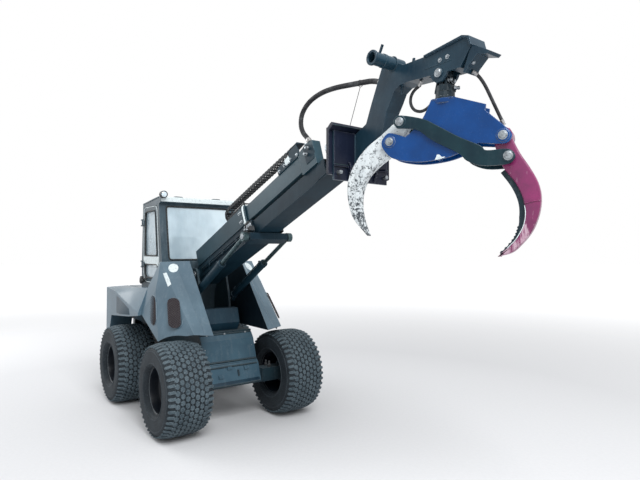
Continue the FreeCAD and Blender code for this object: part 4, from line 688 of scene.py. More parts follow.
# A tower is a folded shell: two front faces that meet in a crease, a slanted side panel that the wheel
# arch cuts, a lower side, a top cap and flat walls towards the boom and the cab
tower_inner_top, tower_inner_low = (-0.375, -0.274, 1.463), (0.150, -0.274, 0.827)
tower_crease_top, tower_crease_low = (-0.4993, -0.3697, 1.4570), (0.134, -0.351, 0.835)
tower_ridge_top, tower_ridge_low = (-0.5426, -0.4934, 1.4522), (0.115, -0.440, 0.845)
bend_top, bend_low = (-0.478, -0.560, 1.195), (-0.240, -0.620, 0.755)
rear_top, rear_low = (-0.705, -0.560, 1.198), (-0.705, -0.620, 0.962)
rear_ridge, rear_inner, foot_inner = (-0.705, -0.440, 1.452), (-0.705, -0.274, 1.456), (-0.705, -0.274, 0.827)
arch_radius = 0.436
share = np.linspace(0, 1, 13)[:, None]
upper_line = np.array(tower_ridge_top) * (1 - share) + np.array(bend_top) * share
lower_line = np.array(tower_ridge_low) * (1 - share) + np.array(bend_low) * share
arch_height = tyre_radius + np.sqrt(arch_radius ** 2 - lower_line[:, 0] ** 2)
lower_line[:, 2] = np.maximum(lower_line[:, 2], arch_height)
panel_rows = np.stack([upper_line * (1 - k) + lower_line * k for k in np.linspace(0, 1, 9)])
row, column = np.arange(8)[:, None] * 13, np.arange(12)[None, :]
panel_quads = np.stack([row + column, row + column + 1, row + column + 14, row + column + 13], -1).reshape(-1, 4)
facets = [
    [tower_inner_top, tower_crease_top, tower_crease_low], [tower_inner_top, tower_crease_low, tower_inner_low],
    [tower_crease_top, tower_ridge_top, tower_ridge_low, tower_crease_low],
    [bend_top, bend_low, rear_low, rear_top],
    [tower_ridge_top, bend_top, rear_top, rear_ridge],
    [tower_inner_top, rear_inner, rear_ridge, tower_ridge_top, tower_crease_top],
    [tower_inner_top, tower_inner_low, foot_inner, rear_inner],
    [rear_inner, foot_inner, rear_low, rear_top, rear_ridge]]


def folded_tower(sign):
    """The shell's facets with each face turned away from a point inside, and equal corners merged. The
    flat walls, square to the machine's long or cross axis, take the second finish, a near-black that
    paints the shade between the tower and the boom and cab."""
    bm = bmesh.new()
    inside = Vector((front_axle - 0.45, sign * 0.38, 1.10))
    side_panel = (panel_rows.reshape(-1, 3), panel_quads.tolist())
    for points, faces in [side_panel] + [(np.array(facet), [range(len(facet))]) for facet in facets]:
        points = (points + [front_axle, 0, 0]) * [1, -sign, 1]
        corners = [bm.verts.new(p) for p in points]
        for face in faces:
            made = bm.faces.new([corners[k] for k in face])
            made.material_index = int(np.ptp(points[:, :2], axis=0).min() < 0.001)
            made.normal_update()
            if made.normal.dot(made.calc_center_median() - inside) < 0:
                made.normal_flip()
    bmesh.ops.remove_doubles(bm, verts=bm.verts, dist=0.0006)
    mesh = bpy.data.meshes.new("tower")
    bm.to_mesh(mesh)
    bm.free()
    mesh.shade_flat()
    mesh.materials.append(body_paint.material)
    mesh.materials.append(shade_black.material)
    return mesh


grille_places = (((-0.1467, -0.4878, 1.0132), (0.0480, 0.0210, 0.0030), (-0.0791, 0.0118, 0.1234)),
                 ((-0.4559, -0.5876, 1.0129), (0.0700, 0.0068, 0.0069), (-0.0633, 0.0211, 0.1306)))
badge_centre = (-0.4505, -0.4023, 1.3959)
badge_across, badge_upward = (0.0195, 0.0488, -0.0005), (-0.0404, 0.0154, 0.0461)
badge_turn = np.linspace(0, 2 * np.pi, 40, endpoint=False)
strip_corners = [(-0.4625, -0.4975, 1.3489), (-0.4166, -0.4747, 1.3592), (-0.3196, -0.4730, 1.2527),
                 (-0.3481, -0.4930, 1.2301)]
shade_sheet_corners = [(-1.939, 0.350, 0.679), (-1.759, 0.350, 0.679), (-1.759, 0.350, 0.819), (-1.939, 0.350, 0.819)]
recess_corners = [(-0.955, 0.8, 0.925), (-0.990, 0.8, 0.985), (-1.330, 0.8, 1.070), (-1.405, 0.8, 1.085),
                  (-1.405, 0.8, 0.905), (-1.30, 0.8, 0.900)]
for side, sign in (("right", -1), ("left", 1)):
    mesh = folded_tower(sign)
    tower = bpy.data.objects.new("tower_shell_" + side, mesh)
    bpy.context.scene.collection.objects.link(tower)
    wall = tower.modifiers.new("wall", "SOLIDIFY")
    wall.thickness, wall.offset, wall.use_even_offset = 0.005, -1.0, True
    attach(tower, "chassis")
    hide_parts("fender_" + side)
    flip = np.array([1, -sign, 1])
    for number, (middle, across, upward) in enumerate(grille_places):
        middle, across, upward = (np.array(v) * flip for v in (middle, across, upward))
        middle = middle + [front_axle, 0, 0]
        wide, tall = np.linalg.norm(across), np.linalg.norm(upward)
        ring = oval(0.0, 0.0, wide, tall)
        on_panel = lambda uv: middle + uv[:, :1] / wide * across + uv[:, 1:] / tall * upward
        edge_points, normal = laid_on(mesh, on_panel(ring) + [0, sign * 0.1, 0], (0, -sign, 0))
        # The flat plane nearest to the rim, y = p x + q z + r, carries the backing and the wires. The backing
        # is a solid dark sheet: painted shade behind the wires
        known = np.c_[edge_points[:, 0], edge_points[:, 2], np.ones(len(ring))]
        plane = np.linalg.lstsq(known, edge_points[:, 1], rcond=None)[0]
        proud = np.abs(edge_points[:, 1] - known @ plane).max() + 0.001
        flat = lambda at, lift: np.stack([
            at[:, 0], at[:, 0] * plane[0] + at[:, 2] * plane[1] + plane[2] + sign * lift, at[:, 2]], 1)
        wires = [lofted([flat(on_panel(ring), proud - 0.004), flat(on_panel(ring), proud)])]
        run = np.linspace(-0.22, 0.22, 221)
        for lean in (1, -1):
            for shift in np.linspace(-0.20, 0.20, 25):
                line = np.stack([(run + shift * lean) * 0.7071, (run * lean - shift) * 0.7071], 1)
                core = np.clip(line[:, 1], wide - tall, tall - wide)
                inside = np.hypot(line[:, 0], line[:, 1] - core) < wide
                if inside.sum() > 3:
                    ends = on_panel(line[inside][[0, -1]])
                    wires.append(tube(flat(ends, proud + 0.002 + 0.001 * lean), 0.0019, 6))
        piece(f"grille_mesh_{side}_{number}", together(*wires), grille_brown_and_shade, "chassis")
        piece(f"grille_rim_{side}_{number}", gasket(edge_points + normal * 0.001, 0.0055), body_paint, "chassis")
    # The bare round badge, and the pale strip bent over the ridge: nine rows of seven places that are
    # thrown on the panel from the front
    middle, across, upward = (np.array(v) * flip for v in (badge_centre, badge_across, badge_upward))
    disc = middle + [front_axle, 0, 0] + 0.86 * (
        np.cos(badge_turn)[:, None] * across + np.sin(badge_turn)[:, None] * upward)
    face = np.cross(across, upward)
    face *= np.sign(face[0])
    off_panel = disc + face / np.linalg.norm(face) * 0.05
    piece("badge_disc_" + side, sheet_on(mesh, off_panel, -face, 0.004), pale_plate, "chassis")
    strip = (np.array(strip_corners) + [front_axle, 0, 0]) * flip
    rearward = np.array((-0.9347, 0.3517, -0.0524)) * flip
    along, over = (g.reshape(-1, 1) for g in np.meshgrid(np.linspace(0, 1, 9), np.linspace(0, 1, 7), indexing="ij"))
    spots = (1 - along) * ((1 - over) * strip[0] + over * strip[1]) + along * ((1 - over) * strip[3] + over * strip[2])
    rows = laid_on(mesh, spots, rearward)[0].reshape(9, 7, 3)
    strip_rings = [np.vstack([row + rearward * 0.002, (row - rearward * 0.003)[::-1]]) for row in rows]
    piece("pale_strip_" + side, lofted(strip_rings), pale_plate, "chassis")
    # A near-black sheet inside the rear tyre, painted shade in the wheel well, and a darker panel in the side box's
    # flank, painted shade of its recess
    shade_sheet = np.array(shade_sheet_corners) * [1, sign, 1]
    piece("well_shade_sheet_" + side, lofted([shade_sheet, shade_sheet + [0, sign * 0.004, 0]]), shade_black, "chassis")
    recess = np.array(recess_corners) * [1, sign, 1] + [front_axle, 0, 0]
    piece("box_recess_" + side, sheet_on("side_box_" + side, recess, (0, -sign, 0), 0.002), recess_shade_paint, "chassis")


# Rear: the grille door's latch and pull, a lamp on each box, and the bumper's bolts and tow pin
rear_face, pull_y = front_axle - 1.815, -0.335
pull_line = [(rear_face + out, pull_y, z) for out, z in (
    (0.004, 0.93), (-0.030, 0.94), (-0.034, 0.985), (-0.030, 1.03), (0.004, 1.04))]
latch_plate = beveled(rect(-0.026, -0.020, 0.026, 0.020), -0.008, 0.004, 0.002)
pull = together(tube(smooth_line(pull_line, 6), 0.007, 12),
                facing(latch_plate, [(rear_face, pull_y, 1.09)], (-1, 0, 0)))
piece("rear_door_pull", pull, chassis_paint, "rear_door")
# The screen's wires lie behind the door's slots, which repeat every 40 mm
wires = [tube([(rear_face + 0.012, -0.275, z), (rear_face + 0.012, 0.275, z)], 0.0035, 8)
         for z in np.arange(0.872, 1.11, 0.0135) if (z - 0.880) % 0.040 < 0.0205]
wires += [tube([(rear_face + 0.010, y, 0.872), (rear_face + 0.010, y, 1.105)], 0.0025, 6)
          for y in np.linspace(-0.24, 0.24, 9)]
piece("rear_door_screen", together(*wires), chassis_paint, "rear_door")
lamp_red = Finish("lamp_red", Roughness=0.12, Coat_Weight=0.6)
lamp_place = lamp_red.place()
cells = lamp_red.node("ShaderNodeTexVoronoi", {"feature": "DISTANCE_TO_EDGE"},
                      {"Vector": lamp_place, "Scale": 160.0}, "Distance")
lamp_red.feed("Base Color", lamp_red.mix(lamp_red.ramp(cells, 0.0, 0.3), (0.16, 0.004, 0.004), (0.42, 0.012, 0.012)))
lamp_red.relief(cells, 0.0012, 0.6)
lens = turned([(0.040, 0.004), (0.040, -0.010), (0.036, -0.016), (0.020, -0.019), (0.004, -0.020)], 36)
lens_ring = turned([(0.047, 0.004), (0.048, -0.008), (0.044, -0.013), (0.039, -0.011), (0.039, 0.004)], 40, closed=True)
tail_spots = [(front_axle - 1.790, y, 1.075) for y in (-0.545, 0.545)]
piece("tail_lamps", facing(lens, tail_spots, (-1, 0, 0)), lamp_red, "chassis")
piece("tail_lamp_rings", facing(lens_ring, tail_spots, (-1, 0, 0)), chassis_paint, "chassis")
bumper_spots = [(front_axle - 1.810, y, z) for y in (-0.30, -0.12, 0.12, 0.30) for z in (0.50, 0.74)]
piece("bumper_bolts", facing(bolt(0.030), bumper_spots, (-1, 0, 0)), zinc, "chassis")
tow_pin = together(turned([(0.0125, -0.02), (0.0125, 0.115)], 20), turned([(0.024, 0.082), (0.024, 0.090)], 24),
                   turned([(0.018, 0.115), (0.021, 0.118), (0.021, 0.124), (0.018, 0.127)], 24))
piece("tow_pin", standing(moved(tow_pin, (0, 0, 0), -1), [(front_axle - 1.851, 0.0, 0.531)]), zinc, "chassis")
# Engine cover: a raised centre rib, two lift handles and the exhaust's outlet on its top
hood_top = 1.165
rib_rear, rib_front, rib_half = front_axle - 1.77, front_axle - 1.36, 0.16
cover_rib = beveled(rect(rib_rear, -rib_half, rib_front, rib_half),
                    hood_top - 0.002, hood_top + 0.010, 0.006, axis=2)
grip_line = ((-0.06, 0.0), (-0.055, 0.028), (0.0, 0.034), (0.055, 0.028), (0.06, 0.0))
grips = [tube(smooth_line([(front_axle - 1.55 + x, y, hood_top + z) for x, z in grip_line], 5), 0.006, 10)
         for y in (-0.29, 0.29)]
piece("engine_cover_rib", together(cover_rib, *grips), body_paint, "chassis")
outlet = turned([(0.034, 0.0), (0.034, -0.060), (0.029, -0.060), (0.029, -0.004)], 32, closed=True)
piece("exhaust_outlet", standing(outlet, [(front_axle - 1.66, 0.24, hood_top - 0.001)]), engine_iron, "chassis")


# Cab: a folded and welded steel shell, open inside, with a door hinged on its rear edge. Its panes sit
# in black rubber, and a pale painted band crosses the door between its two windows.
cab_paint = painted("cab_paint", (0.050, 0.082, 0.104), (0.030, 0.050, 0.066), dust=0.4, chips=0.45,
                    chip_colour=(0.42, 0.46, 0.47), rough=0.38, cloud_scale=4.0)
cab_paint.cover("cab_shell", "cab_door")
seal_rubber = Finish("seal_rubber", Roughness=0.6, Specular_IOR_Level=0.25)
seal_place = seal_rubber.place()
seal_dirt = seal_rubber.noise(80, 5, 0.65, seal_place)
seal_grey = seal_rubber.ramp(seal_dirt, 0.45, 0.75)
seal_rubber.feed("Base Color", seal_rubber.mix(seal_grey, (0.014, 0.015, 0.017), (0.09, 0.10, 0.10)))
seal_rubber.feed("Roughness", 0.45 + 0.3 * seal_dirt)
seal_rubber.relief(seal_dirt, 0.0006, 0.5)
# The panes are part see-through and pale blue: a painted reflection of the sky, patchy with a film and with runs down
# the glass
cab_glass = Finish("cab_glass", Roughness=0.04, Alpha=0.42, Coat_Weight=1.0, Coat_Roughness=0.02)
glass_place = cab_glass.place()
film_and_reflection = cab_glass.noise(2.4, 3, 0.45, glass_place)
glass_run = cab_glass.node("ShaderNodeMapping", {}, {"Vector": glass_place, "Scale": (1.0, 1.0, 0.2)})
glass_streak = cab_glass.noise(24, 5, 0.7, glass_run)
glass_reflection_share = cab_glass.ramp(film_and_reflection, 0.3, 0.7)
cab_glass.feed("Base Color", cab_glass.mix(glass_reflection_share, (0.52, 0.68, 0.78), (0.72, 0.85, 0.92)))
cab_glass.feed("Alpha", 0.40 + 0.34 * cab_glass.ramp(film_and_reflection * 0.85 + glass_streak * 0.15, 0.36, 0.62))
cab_glass.feed("Roughness", 0.03 + 0.10 * glass_streak)
cab_glass.cover("windshield", "cab_windows", "door_glass")
cab_side = 0.420


def rounded(outline, radius, steps=5):
    """A closed outline with each corner replaced by a quadratic curve that starts and ends radius from it."""
    outline = np.asarray(outline, float)
    before, after = np.roll(outline, 1, 0) - outline, np.roll(outline, -1, 0) - outline
    reach = [np.minimum(radius, 0.45 * np.linalg.norm(way, axis=1))[:, None] for way in (before, after)]
    start = outline + before / np.linalg.norm(before, axis=1)[:, None] * reach[0]
    end = outline + after / np.linalg.norm(after, axis=1)[:, None] * reach[1]
    t = np.linspace(0, 1, steps)[None, :, None]
    curve = (1 - t) ** 2 * start[:, None] + 2 * t * (1 - t) * outline[:, None] + t ** 2 * end[:, None]
    return curve.reshape(-1, outline.shape[1])


door_upper = [(-1.195, 1.510), (-0.837, 1.510), (-0.900, 1.970), (-1.195, 1.970)]
door_lower = [(-1.155, 1.282), (-0.840, 1.282), (-0.825, 1.420), (-1.195, 1.420), (-1.195, 1.322)]
door_edge = [(-1.179, 1.238), (-0.803, 1.238), (-0.781, 1.450), (-0.856, 2.014), (-1.239, 2.014), (-1.239, 1.306)]
from_axle = lambda outline: np.array(outline) + [front_axle, 0]
in_door = lambda outline, y, radius: np.insert(rounded(from_axle(outline), radius), 1, y, axis=1)
piece("door_gaskets", together(gasket(in_door(door_upper, -cab_side, 0.035), 0.008),
                               gasket(in_door(door_lower, -cab_side, 0.030), 0.008)), seal_rubber, "cab_door")
piece("door_pale_edge", gasket(in_door(door_edge, -cab_side - 0.001, 0.05), 0.0032), pale_plate, "cab_door")
band = from_axle([(-1.232, 1.424), (-1.150, 1.428), (-0.980, 1.418), (-0.880, 1.400), (-0.812, 1.404), (-0.792, 1.452),
                  (-0.798, 1.502), (-1.232, 1.502)])
piece("door_band", beveled(rounded(band, 0.012), -cab_side - 0.005, -cab_side + 0.002, 0.0015), pale_plate, "cab_door")
knob = turned([(0.010, 0.0), (0.010, -0.018), (0.020, -0.022), (0.030, -0.032), (0.032, -0.044), (0.024, -0.054),
               (0.006, -0.057)], 32)
latch_bar = beveled(from_axle(rect(-1.215, 1.262, -1.135, 1.274)),
                    -cab_side - 0.012, -cab_side + 0.002, 0.002)
piece("door_latch", together(facing(knob, [(front_axle - 1.185, -cab_side - 0.002, 1.245)], (0, -1, 0)), latch_bar),
      seal_rubber, "cab_door")
hinge_x, hinge_y = front_axle - 1.249, -0.432
hinge_barrels = [tube([(hinge_x, hinge_y, z), (hinge_x, hinge_y, z + 0.055)], 0.0105, 16) for z in (1.398, 1.838)]
piece("door_hinge_caps", together(*hinge_barrels), cab_paint, "chassis")
left_pane = [(-1.245, 1.470), (-0.800, 1.470), (-0.860, 2.000), (-1.245, 2.000)]
rear_pane = np.array(rect(-0.345, 1.470, 0.345, 1.960))
screen = np.array([[-0.7125, -0.345, 1.470], [-0.7125, 0.345, 1.470], [-0.8035, 0.345, 2.010],
                   [-0.8035, -0.345, 2.010]])
back_y, back_z = rounded(rear_pane, 0.04).T
wall_lean = 0.03 / 0.615
back_line = np.stack([front_axle - 1.3055 + np.clip(back_z - 1.45, 0, 1) * wall_lean, back_y, back_z], 1)
piece("cab_gaskets", together(
    gasket(in_door(left_pane, cab_side, 0.04), 0.009), gasket(back_line, 0.009),
    gasket(rounded(screen + [front_axle, 0, 0], 0.035), 0.009)), seal_rubber, "chassis")
# Roof: a pressed panel with two ribs and a rolled drip rail, and a pale visor face
roof_ribs = []
for y in (-0.21, 0.21):
    rib_line = from_axle(rect(-1.22, y - 0.05, -0.80, y + 0.05))
    points, groups = beveled(rounded(rib_line, 0.03), 0.0, 0.012, 0.006, axis=2)
    points[:, 2] += 2.1035 + (points[:, 0] - (front_axle - 0.809)) * 0.0858
    roof_ribs.append((points, groups))
piece("roof_ribs", together(*roof_ribs), cab_paint, "chassis")
both = (-1, 1)
rails = [tube(smooth_line([(front_axle - 1.268, sign * 0.418, 2.055), (front_axle - 1.05, sign * 0.421, 2.077),
                           (front_axle - 0.815, sign * 0.421, 2.098)], 4), 0.007, 10) for sign in both]
piece("roof_drip_rails", together(*rails), cab_paint, "chassis")
visor_line = from_axle([(-0.7462, 2.052), (-0.7440, 2.0885), (-0.7562, 2.1005)])
visor_ring = np.vstack([visor_line, visor_line[::-1] - [0.004, 0.002]]) + [0.0012, 0.0008]
piece("visor_face", lofted([np.insert(visor_ring, 1, y, axis=1) for y in (-0.416, 0.416)]), pale_plate, "chassis")


# Work lamp and filler cap: a small round lamp with a ribbed case and a clear lens on the roof's right
# corner, and a knurled cap low on the cab's side.
lamp_case = Finish("lamp_case", Roughness=0.4)
case_dirt = lamp_case.noise(70, 5, 0.6)
lamp_case.feed("Base Color", lamp_case.mix(case_dirt, (0.010, 0.011, 0.013), (0.05, 0.055, 0.06)))
lamp_case.feed("Roughness", 0.3 + 0.3 * case_dirt)
lamp_case.relief(case_dirt, 0.0006, 0.5, 0.001)
lamp_case.cover("work_lamp", "filler_cap")
# The clear lens is painted an opaque pale blue-white, lightest in the middle of each prism cell: a painted reflection
# and glint
lamp_lens = Finish("lamp_lens", Roughness=0.06, Coat_Weight=1.0)
lens_cells = lamp_lens.node("ShaderNodeTexVoronoi", {"feature": "DISTANCE_TO_EDGE"},
                            {"Vector": lamp_lens.place(), "Scale": 130.0}, "Distance")
lens_glint = lamp_lens.ramp(lens_cells, 0.0, 0.25)
lamp_lens.feed("Base Color", lamp_lens.mix(lens_glint, (0.42, 0.55, 0.64), (0.80, 0.88, 0.92)))
lamp_lens.relief(lens_cells, 0.0014, 0.7)
lamp_at = (front_axle - 0.696, -0.405, 2.117)
bezel = turned([(0.0335, 0.012), (0.0350, 0.006), (0.0350, -0.006), (0.031, -0.010), (0.0285, -0.005),
                (0.0285, 0.004)], 40, closed=True)
cooling = [turned([(0.0335, step), (0.0365, step + 0.001), (0.0365, step + 0.003), (0.0335, step + 0.004)], 40,
                  closed=True) for step in (0.018, 0.026, 0.034)]
piece("lamp_bezel", facing(together(bezel, *cooling), [lamp_at], (1, 0, 0)), lamp_case, "chassis")
dome = turned([(0.029, 0.002), (0.028, -0.002), (0.020, -0.006), (0.010, -0.008), (0.002, -0.0085)], 40)
piece("lamp_dome", facing(dome, [lamp_at], (1, 0, 0)), lamp_lens, "chassis")
cap_x, cap_z = front_axle - 1.262, 1.262
knurl_spots = [(cap_x + 0.030 * np.cos(a), -0.432, cap_z + 0.030 * np.sin(a))
               for a in np.linspace(0, 2 * np.pi, 24, endpoint=False)]
knurls = facing(beveled([(-0.002, -0.0125), (0.002, -0.0125), (0.002, 0.0)], -0.003, 0.001, 0.0004),
                knurl_spots, (0, -1, 0))
cap_face = facing(turned([(0.030, 0.002), (0.029, -0.004), (0.014, -0.006), (0.012, -0.010), (0.003, -0.011)], 40),
                  [(cap_x, -0.444, cap_z)], (0, -1, 0))
piece("filler_cap_top", together(knurls, cap_face), lamp_case, "chassis")


# Seat and levers: black vinyl over foam on a sheet-steel box, with a lever console on each side.
seat_vinyl = Finish("seat_vinyl", Roughness=0.5)
vinyl_place = seat_vinyl.place()
vinyl_grain = seat_vinyl.node("ShaderNodeTexVoronoi", {}, {"Vector": vinyl_place, "Scale": 420.0}, "Distance")
vinyl_wear = seat_vinyl.noise(9, 6, 0.65, vinyl_place)
vinyl_grey = seat_vinyl.ramp(vinyl_wear, 0.4, 0.7)
seat_vinyl.feed("Base Color", seat_vinyl.mix(vinyl_grey, (0.016, 0.017, 0.020), (0.055, 0.058, 0.064)))
seat_vinyl.feed("Roughness", 0.38 + 0.25 * vinyl_wear)
seat_vinyl.relief(vinyl_grain, 0.0006, 0.5)


def pad_form(centre, half, lean, channels, depth):
    """A stuffed pad: point = half sizes times signed 0.42 powers of the sines and cosines of two
    angles. Its long faces are drawn in by depth along each sewn channel, as a narrow bell curve."""
    around = np.linspace(0, 2 * np.pi, 96, endpoint=False)[None, :]
    up = np.linspace(-np.pi / 2 + 0.02, np.pi / 2 - 0.02, 56)[:, None]
    power = lambda value, share: np.sign(value) * np.abs(value) ** share
    x = power(np.cos(up), 0.42) * power(np.cos(around), 0.42)
    y = power(np.cos(up), 0.42) * power(np.sin(around), 0.42)
    z = power(np.sin(up), 0.55) * np.ones_like(around)
    piped = 1.2 * np.exp(-((np.abs(z) - 0.55) / 0.05) ** 2) * (np.hypot(x, y) > 0.9)
    sewn = sum(np.exp(-((y - channel) / 0.035) ** 2) for channel in channels) + piped
    crowned = z * (1 - depth * sewn * np.cos(up) ** 0.2) * (1 - 0.22 * (x ** 2 + y ** 2) / 2)
    local = np.stack([x * half[0] * (1 - 0.03 * z ** 2), y * half[1], crowned * half[2]], -1)
    turn = np.array([[np.cos(lean), 0, -np.sin(lean)], [0, 1, 0], [np.sin(lean), 0, np.cos(lean)]])
    return lofted(local @ turn.T + np.asarray(centre))


channels = (-0.5, 0.0, 0.5)
cushion_form = pad_form((front_axle - 1.045, 0, 1.248), (0.178, 0.215, 0.055), 0.06, channels, 0.16)
cushion = piece("seat_cushion", cushion_form, seat_vinyl, "chassis", ("seat",), 50)
back_form = pad_form((front_axle - 1.198, 0, 1.505), (0.208, 0.212, 0.042), math.radians(94), channels, 0.16)
backrest = piece("seat_backrest", back_form, seat_vinyl, "chassis", crease=50)


def tray(rear, front, half, low, high, chamfer):
    """A flat box with rounded upright corners, from rear to front of the front axle and half each way."""
    outline = from_axle(rect(rear, -half, front, half))
    return beveled(rounded(outline, 0.02), low, high, chamfer, axis=2)


# The box, the tray under the cushion, and the folds of the bellows between them
seat_box = [tray(-1.240, -0.930, 0.180, 0.820, 1.150, 0.004), tray(-1.225, -0.895, 0.200, 1.185, 1.200, 0.004)]
seat_box += [tray(-1.215 + fold, -0.955 - fold, 0.15 - fold, low, low + 0.0065, 0.002)
             for fold, low in ((0.0, 1.152), (0.01, 1.160), (0.0, 1.168), (0.01, 1.176))]
piece("seat_box", together(*seat_box), chassis_paint, "chassis")
moulding = painted("moulding", (0.018, 0.019, 0.021), (0.010, 0.011, 0.012), dust=0.3, chips=0.1, rough=0.6)
moulding.cover("control_levers")
grip = turned([(0.0125, 0.004), (0.017, -0.010), (0.022, -0.030), (0.0235, -0.052), (0.021, -0.070), (0.012, -0.080),
               (0.003, -0.082)], 28)
boot = turned([(0.050, 0.004), (0.048, -0.006), (0.036, -0.012), (0.038, -0.018), (0.028, -0.024), (0.029, -0.030),
               (0.019, -0.038)], 32)
boots, grips = ([(front_axle - 0.900, y, z) for y in (-0.290, 0.290)] for z in (1.400, 1.500))
piece("lever_grips", together(standing(boot, boots), standing(grip, grips)), seal_rubber, "chassis")


# Boom: a welded plate box with a levelling rail along its top right, and the box and rail that slide
# out of them. Dark satin paint with a teal cast, scraped to steel where the inner ones run.
boom_paint = painted("boom_paint", (0.007, 0.026, 0.041), (0.0035, 0.014, 0.024), dust=0.05, chips=0.5, rough=0.48,
                     gloss=0.15, chip_colour=(0.20, 0.25, 0.28), spots=0.70)
boom_paint.cover("boom_outer", "boom_inner", "lift_barrels", "tilt_barrel")
# The rails take a lighter copy of the boom's paint: painted light on the top of the boom
rail_lit_paint = painted("rail_lit_paint", (0.018, 0.053, 0.074), (0.009, 0.032, 0.047), dust=0.07, chips=0.5, rough=0.36,
                     chip_colour=(0.30, 0.36, 0.39), spots=0.69)
rail_lit_paint.cover("rail_outer", "rail_inner")
boom_heel = np.array([-1.10057, 0, 1.385])
boom_run, boom_rise = np.array([0.92849, 0, 0.37137]), np.array([-0.37137, 0, 0.92849])


def on_boom(shape):
    """Puts a shape in place that is drawn in millimetres along the boom, across it, and above its
    datum line."""
    points, groups = shape
    place = np.stack([boom_run, np.array([0.0, 1.0, 0.0]), boom_rise]) / 1000
    return boom_heel + points @ place, groups


def weld(path, radius, pitch=7.0):
    """A weld bead along a path: a tube whose radius swells by a quarter once each pitch."""
    path = np.asarray(path, float)
    reach = np.concatenate([[0], np.cumsum(np.linalg.norm(np.diff(path, axis=0), axis=1))])
    spread = np.linspace(0, reach[-1], max(4, int(reach[-1] / pitch * 4)))
    path = np.stack([np.interp(spread, reach, path[:, k]) for k in range(3)], 1)
    return tube(path, radius * (1 + 0.22 * np.abs(np.sin(np.pi * spread / pitch))), 8)


def pair(outline, inner, outer, chamfer, middle=0):
    """A plate on each side of a middle line, between two distances from it."""
    return [beveled(outline, *sorted((middle + sign * inner, middle + sign * outer)), chamfer) for sign in both]


def outside(shape, *spots):
    """A shape at each spot (along, out, rise) and at its mirror image, facing away from the middle."""
    return [facing(shape, [(along, sign * out, rise)], (0, sign, 0)) for along, out, rise in spots for sign in both]


collars = pair(rect(1086, -166, 1134, -4), 112, 122, 2.5)
collars += [beveled(rect(1086, -168, 1134, -155), -122, 122, 2.5)]
collars += pair([(40, -30), (300, -30), (330, -60), (300, -128), (40, -140)], 112, 119, 2.5)
collars += [weld([(335, sign * 113, -155.5), (1084, sign * 113, -155.5)], 3.6) for sign in both]
collars += [weld([(100, -36.5, -9.5), (1130, -36.5, -9.5)], 3.0)]
collars += [weld([(1142, sign * 150, -129), (1236, sign * 150, -129)], 3.2) for sign in both]
line_route = [(180, -121, -70), (240, -126, -66), (1010, -126, -66), (1062, -127, -72)]
collars += [tube(smooth_line(np.array(line_route) + [0, 0, -19 * k], 8), 6.0, 12) for k in (0, 1)]
collars += [beveled(rect(a, -96, a + 24, -54), -134, -112, 3) for a in (330, 620, 900)]
piece("boom_collars", on_boom(together(*collars)), boom_paint, "boom")
rail_trim = pair(rect(1018, -10, 1080, 151), 41, 45, 1.5, middle=-80)
rail_trim += [beveled(rect(1018, 146, 1080, 152), -125, -35, 2)]
rail_trim += [beveled(rect(84, -11, 96, 148), -123, -37, 2)]
piece("rail_band", on_boom(together(*rail_trim)), rail_lit_paint, "boom")
# The clamp on the rail and the fittings and valve block at the outer boom's mouth
clamp_line = [(1108, -124, -8), (1108, -126, 60), (1110, -126, 128), (1115, -112, 152), (1118, -80, 154),
              (1118, -44, 151)]
clamp = [tube(smooth_line(clamp_line, 8), 9.0, 14),
         beveled(rect(1098, -14, 1122, 6), -134, -118, 3)]
piece("rail_clamp", on_boom(together(*clamp)), pale_plate, "boom")
valve_block = [beveled(rect(1148, -124, 1232, -84), -166, -122, 4),
               beveled(rect(1148, -124, 1232, -90), 122, 160, 4)]
piece("valve_block", on_boom(together(*valve_block)), engine_iron, "boom")
port = together(turned([(13, 0.5), (13, -12), (11, -14)], 6), turned([(9, -12), (9, -30), (7, -32)], 18),
                turned([(10.5, -22), (10.5, -27)], 18))
port_spots = [(1165, -145, -84), (1190, -145, -84), (1215, -145, -84), (1170, 141, -90), (1205, 141, -90)]
fittings = [standing(port, port_spots), facing(port, [(1190, -166, -104)], (0, -1, 0))]
fittings += outside(bolt(20), (1100, 122, -40), (1100, 122, -128), (1122, 122, -62), (1122, 122, -106))
fittings += [facing(bolt(16), [(along, -125, rise) for along in (1036, 1062) for rise in (30, 110)], (0, -1, 0))]
fittings += outside(turned([(20, 0.5), (20, -4), (17, -7), (3, -8)], 28), (1200, 179, -167))
piece("boom_fittings", on_boom(together(*fittings)), zinc, "boom")
jumpers = [tube(smooth_line([(1062, -127, -72 - 19 * k), (1100, -134, -60 - 26 * k), (1136, -140, -36 - 12 * k),
                             (1165 + 25 * k, -145, -30), (1165 + 25 * k, -145, -54)], 8), 7.0, 12) for k in (0, 1)]
piece("boom_jumper_tubes", on_boom(together(*jumpers)), seal_rubber, "boom")
pin_cap = together(turned([(34, 1.0), (34, -5), (31, -8), (15, -8.5)], 40), bolt(22))
piece("pivot_pin_caps", on_boom(together(*outside(pin_cap, (50, 160, -84)))), zinc, "chassis")
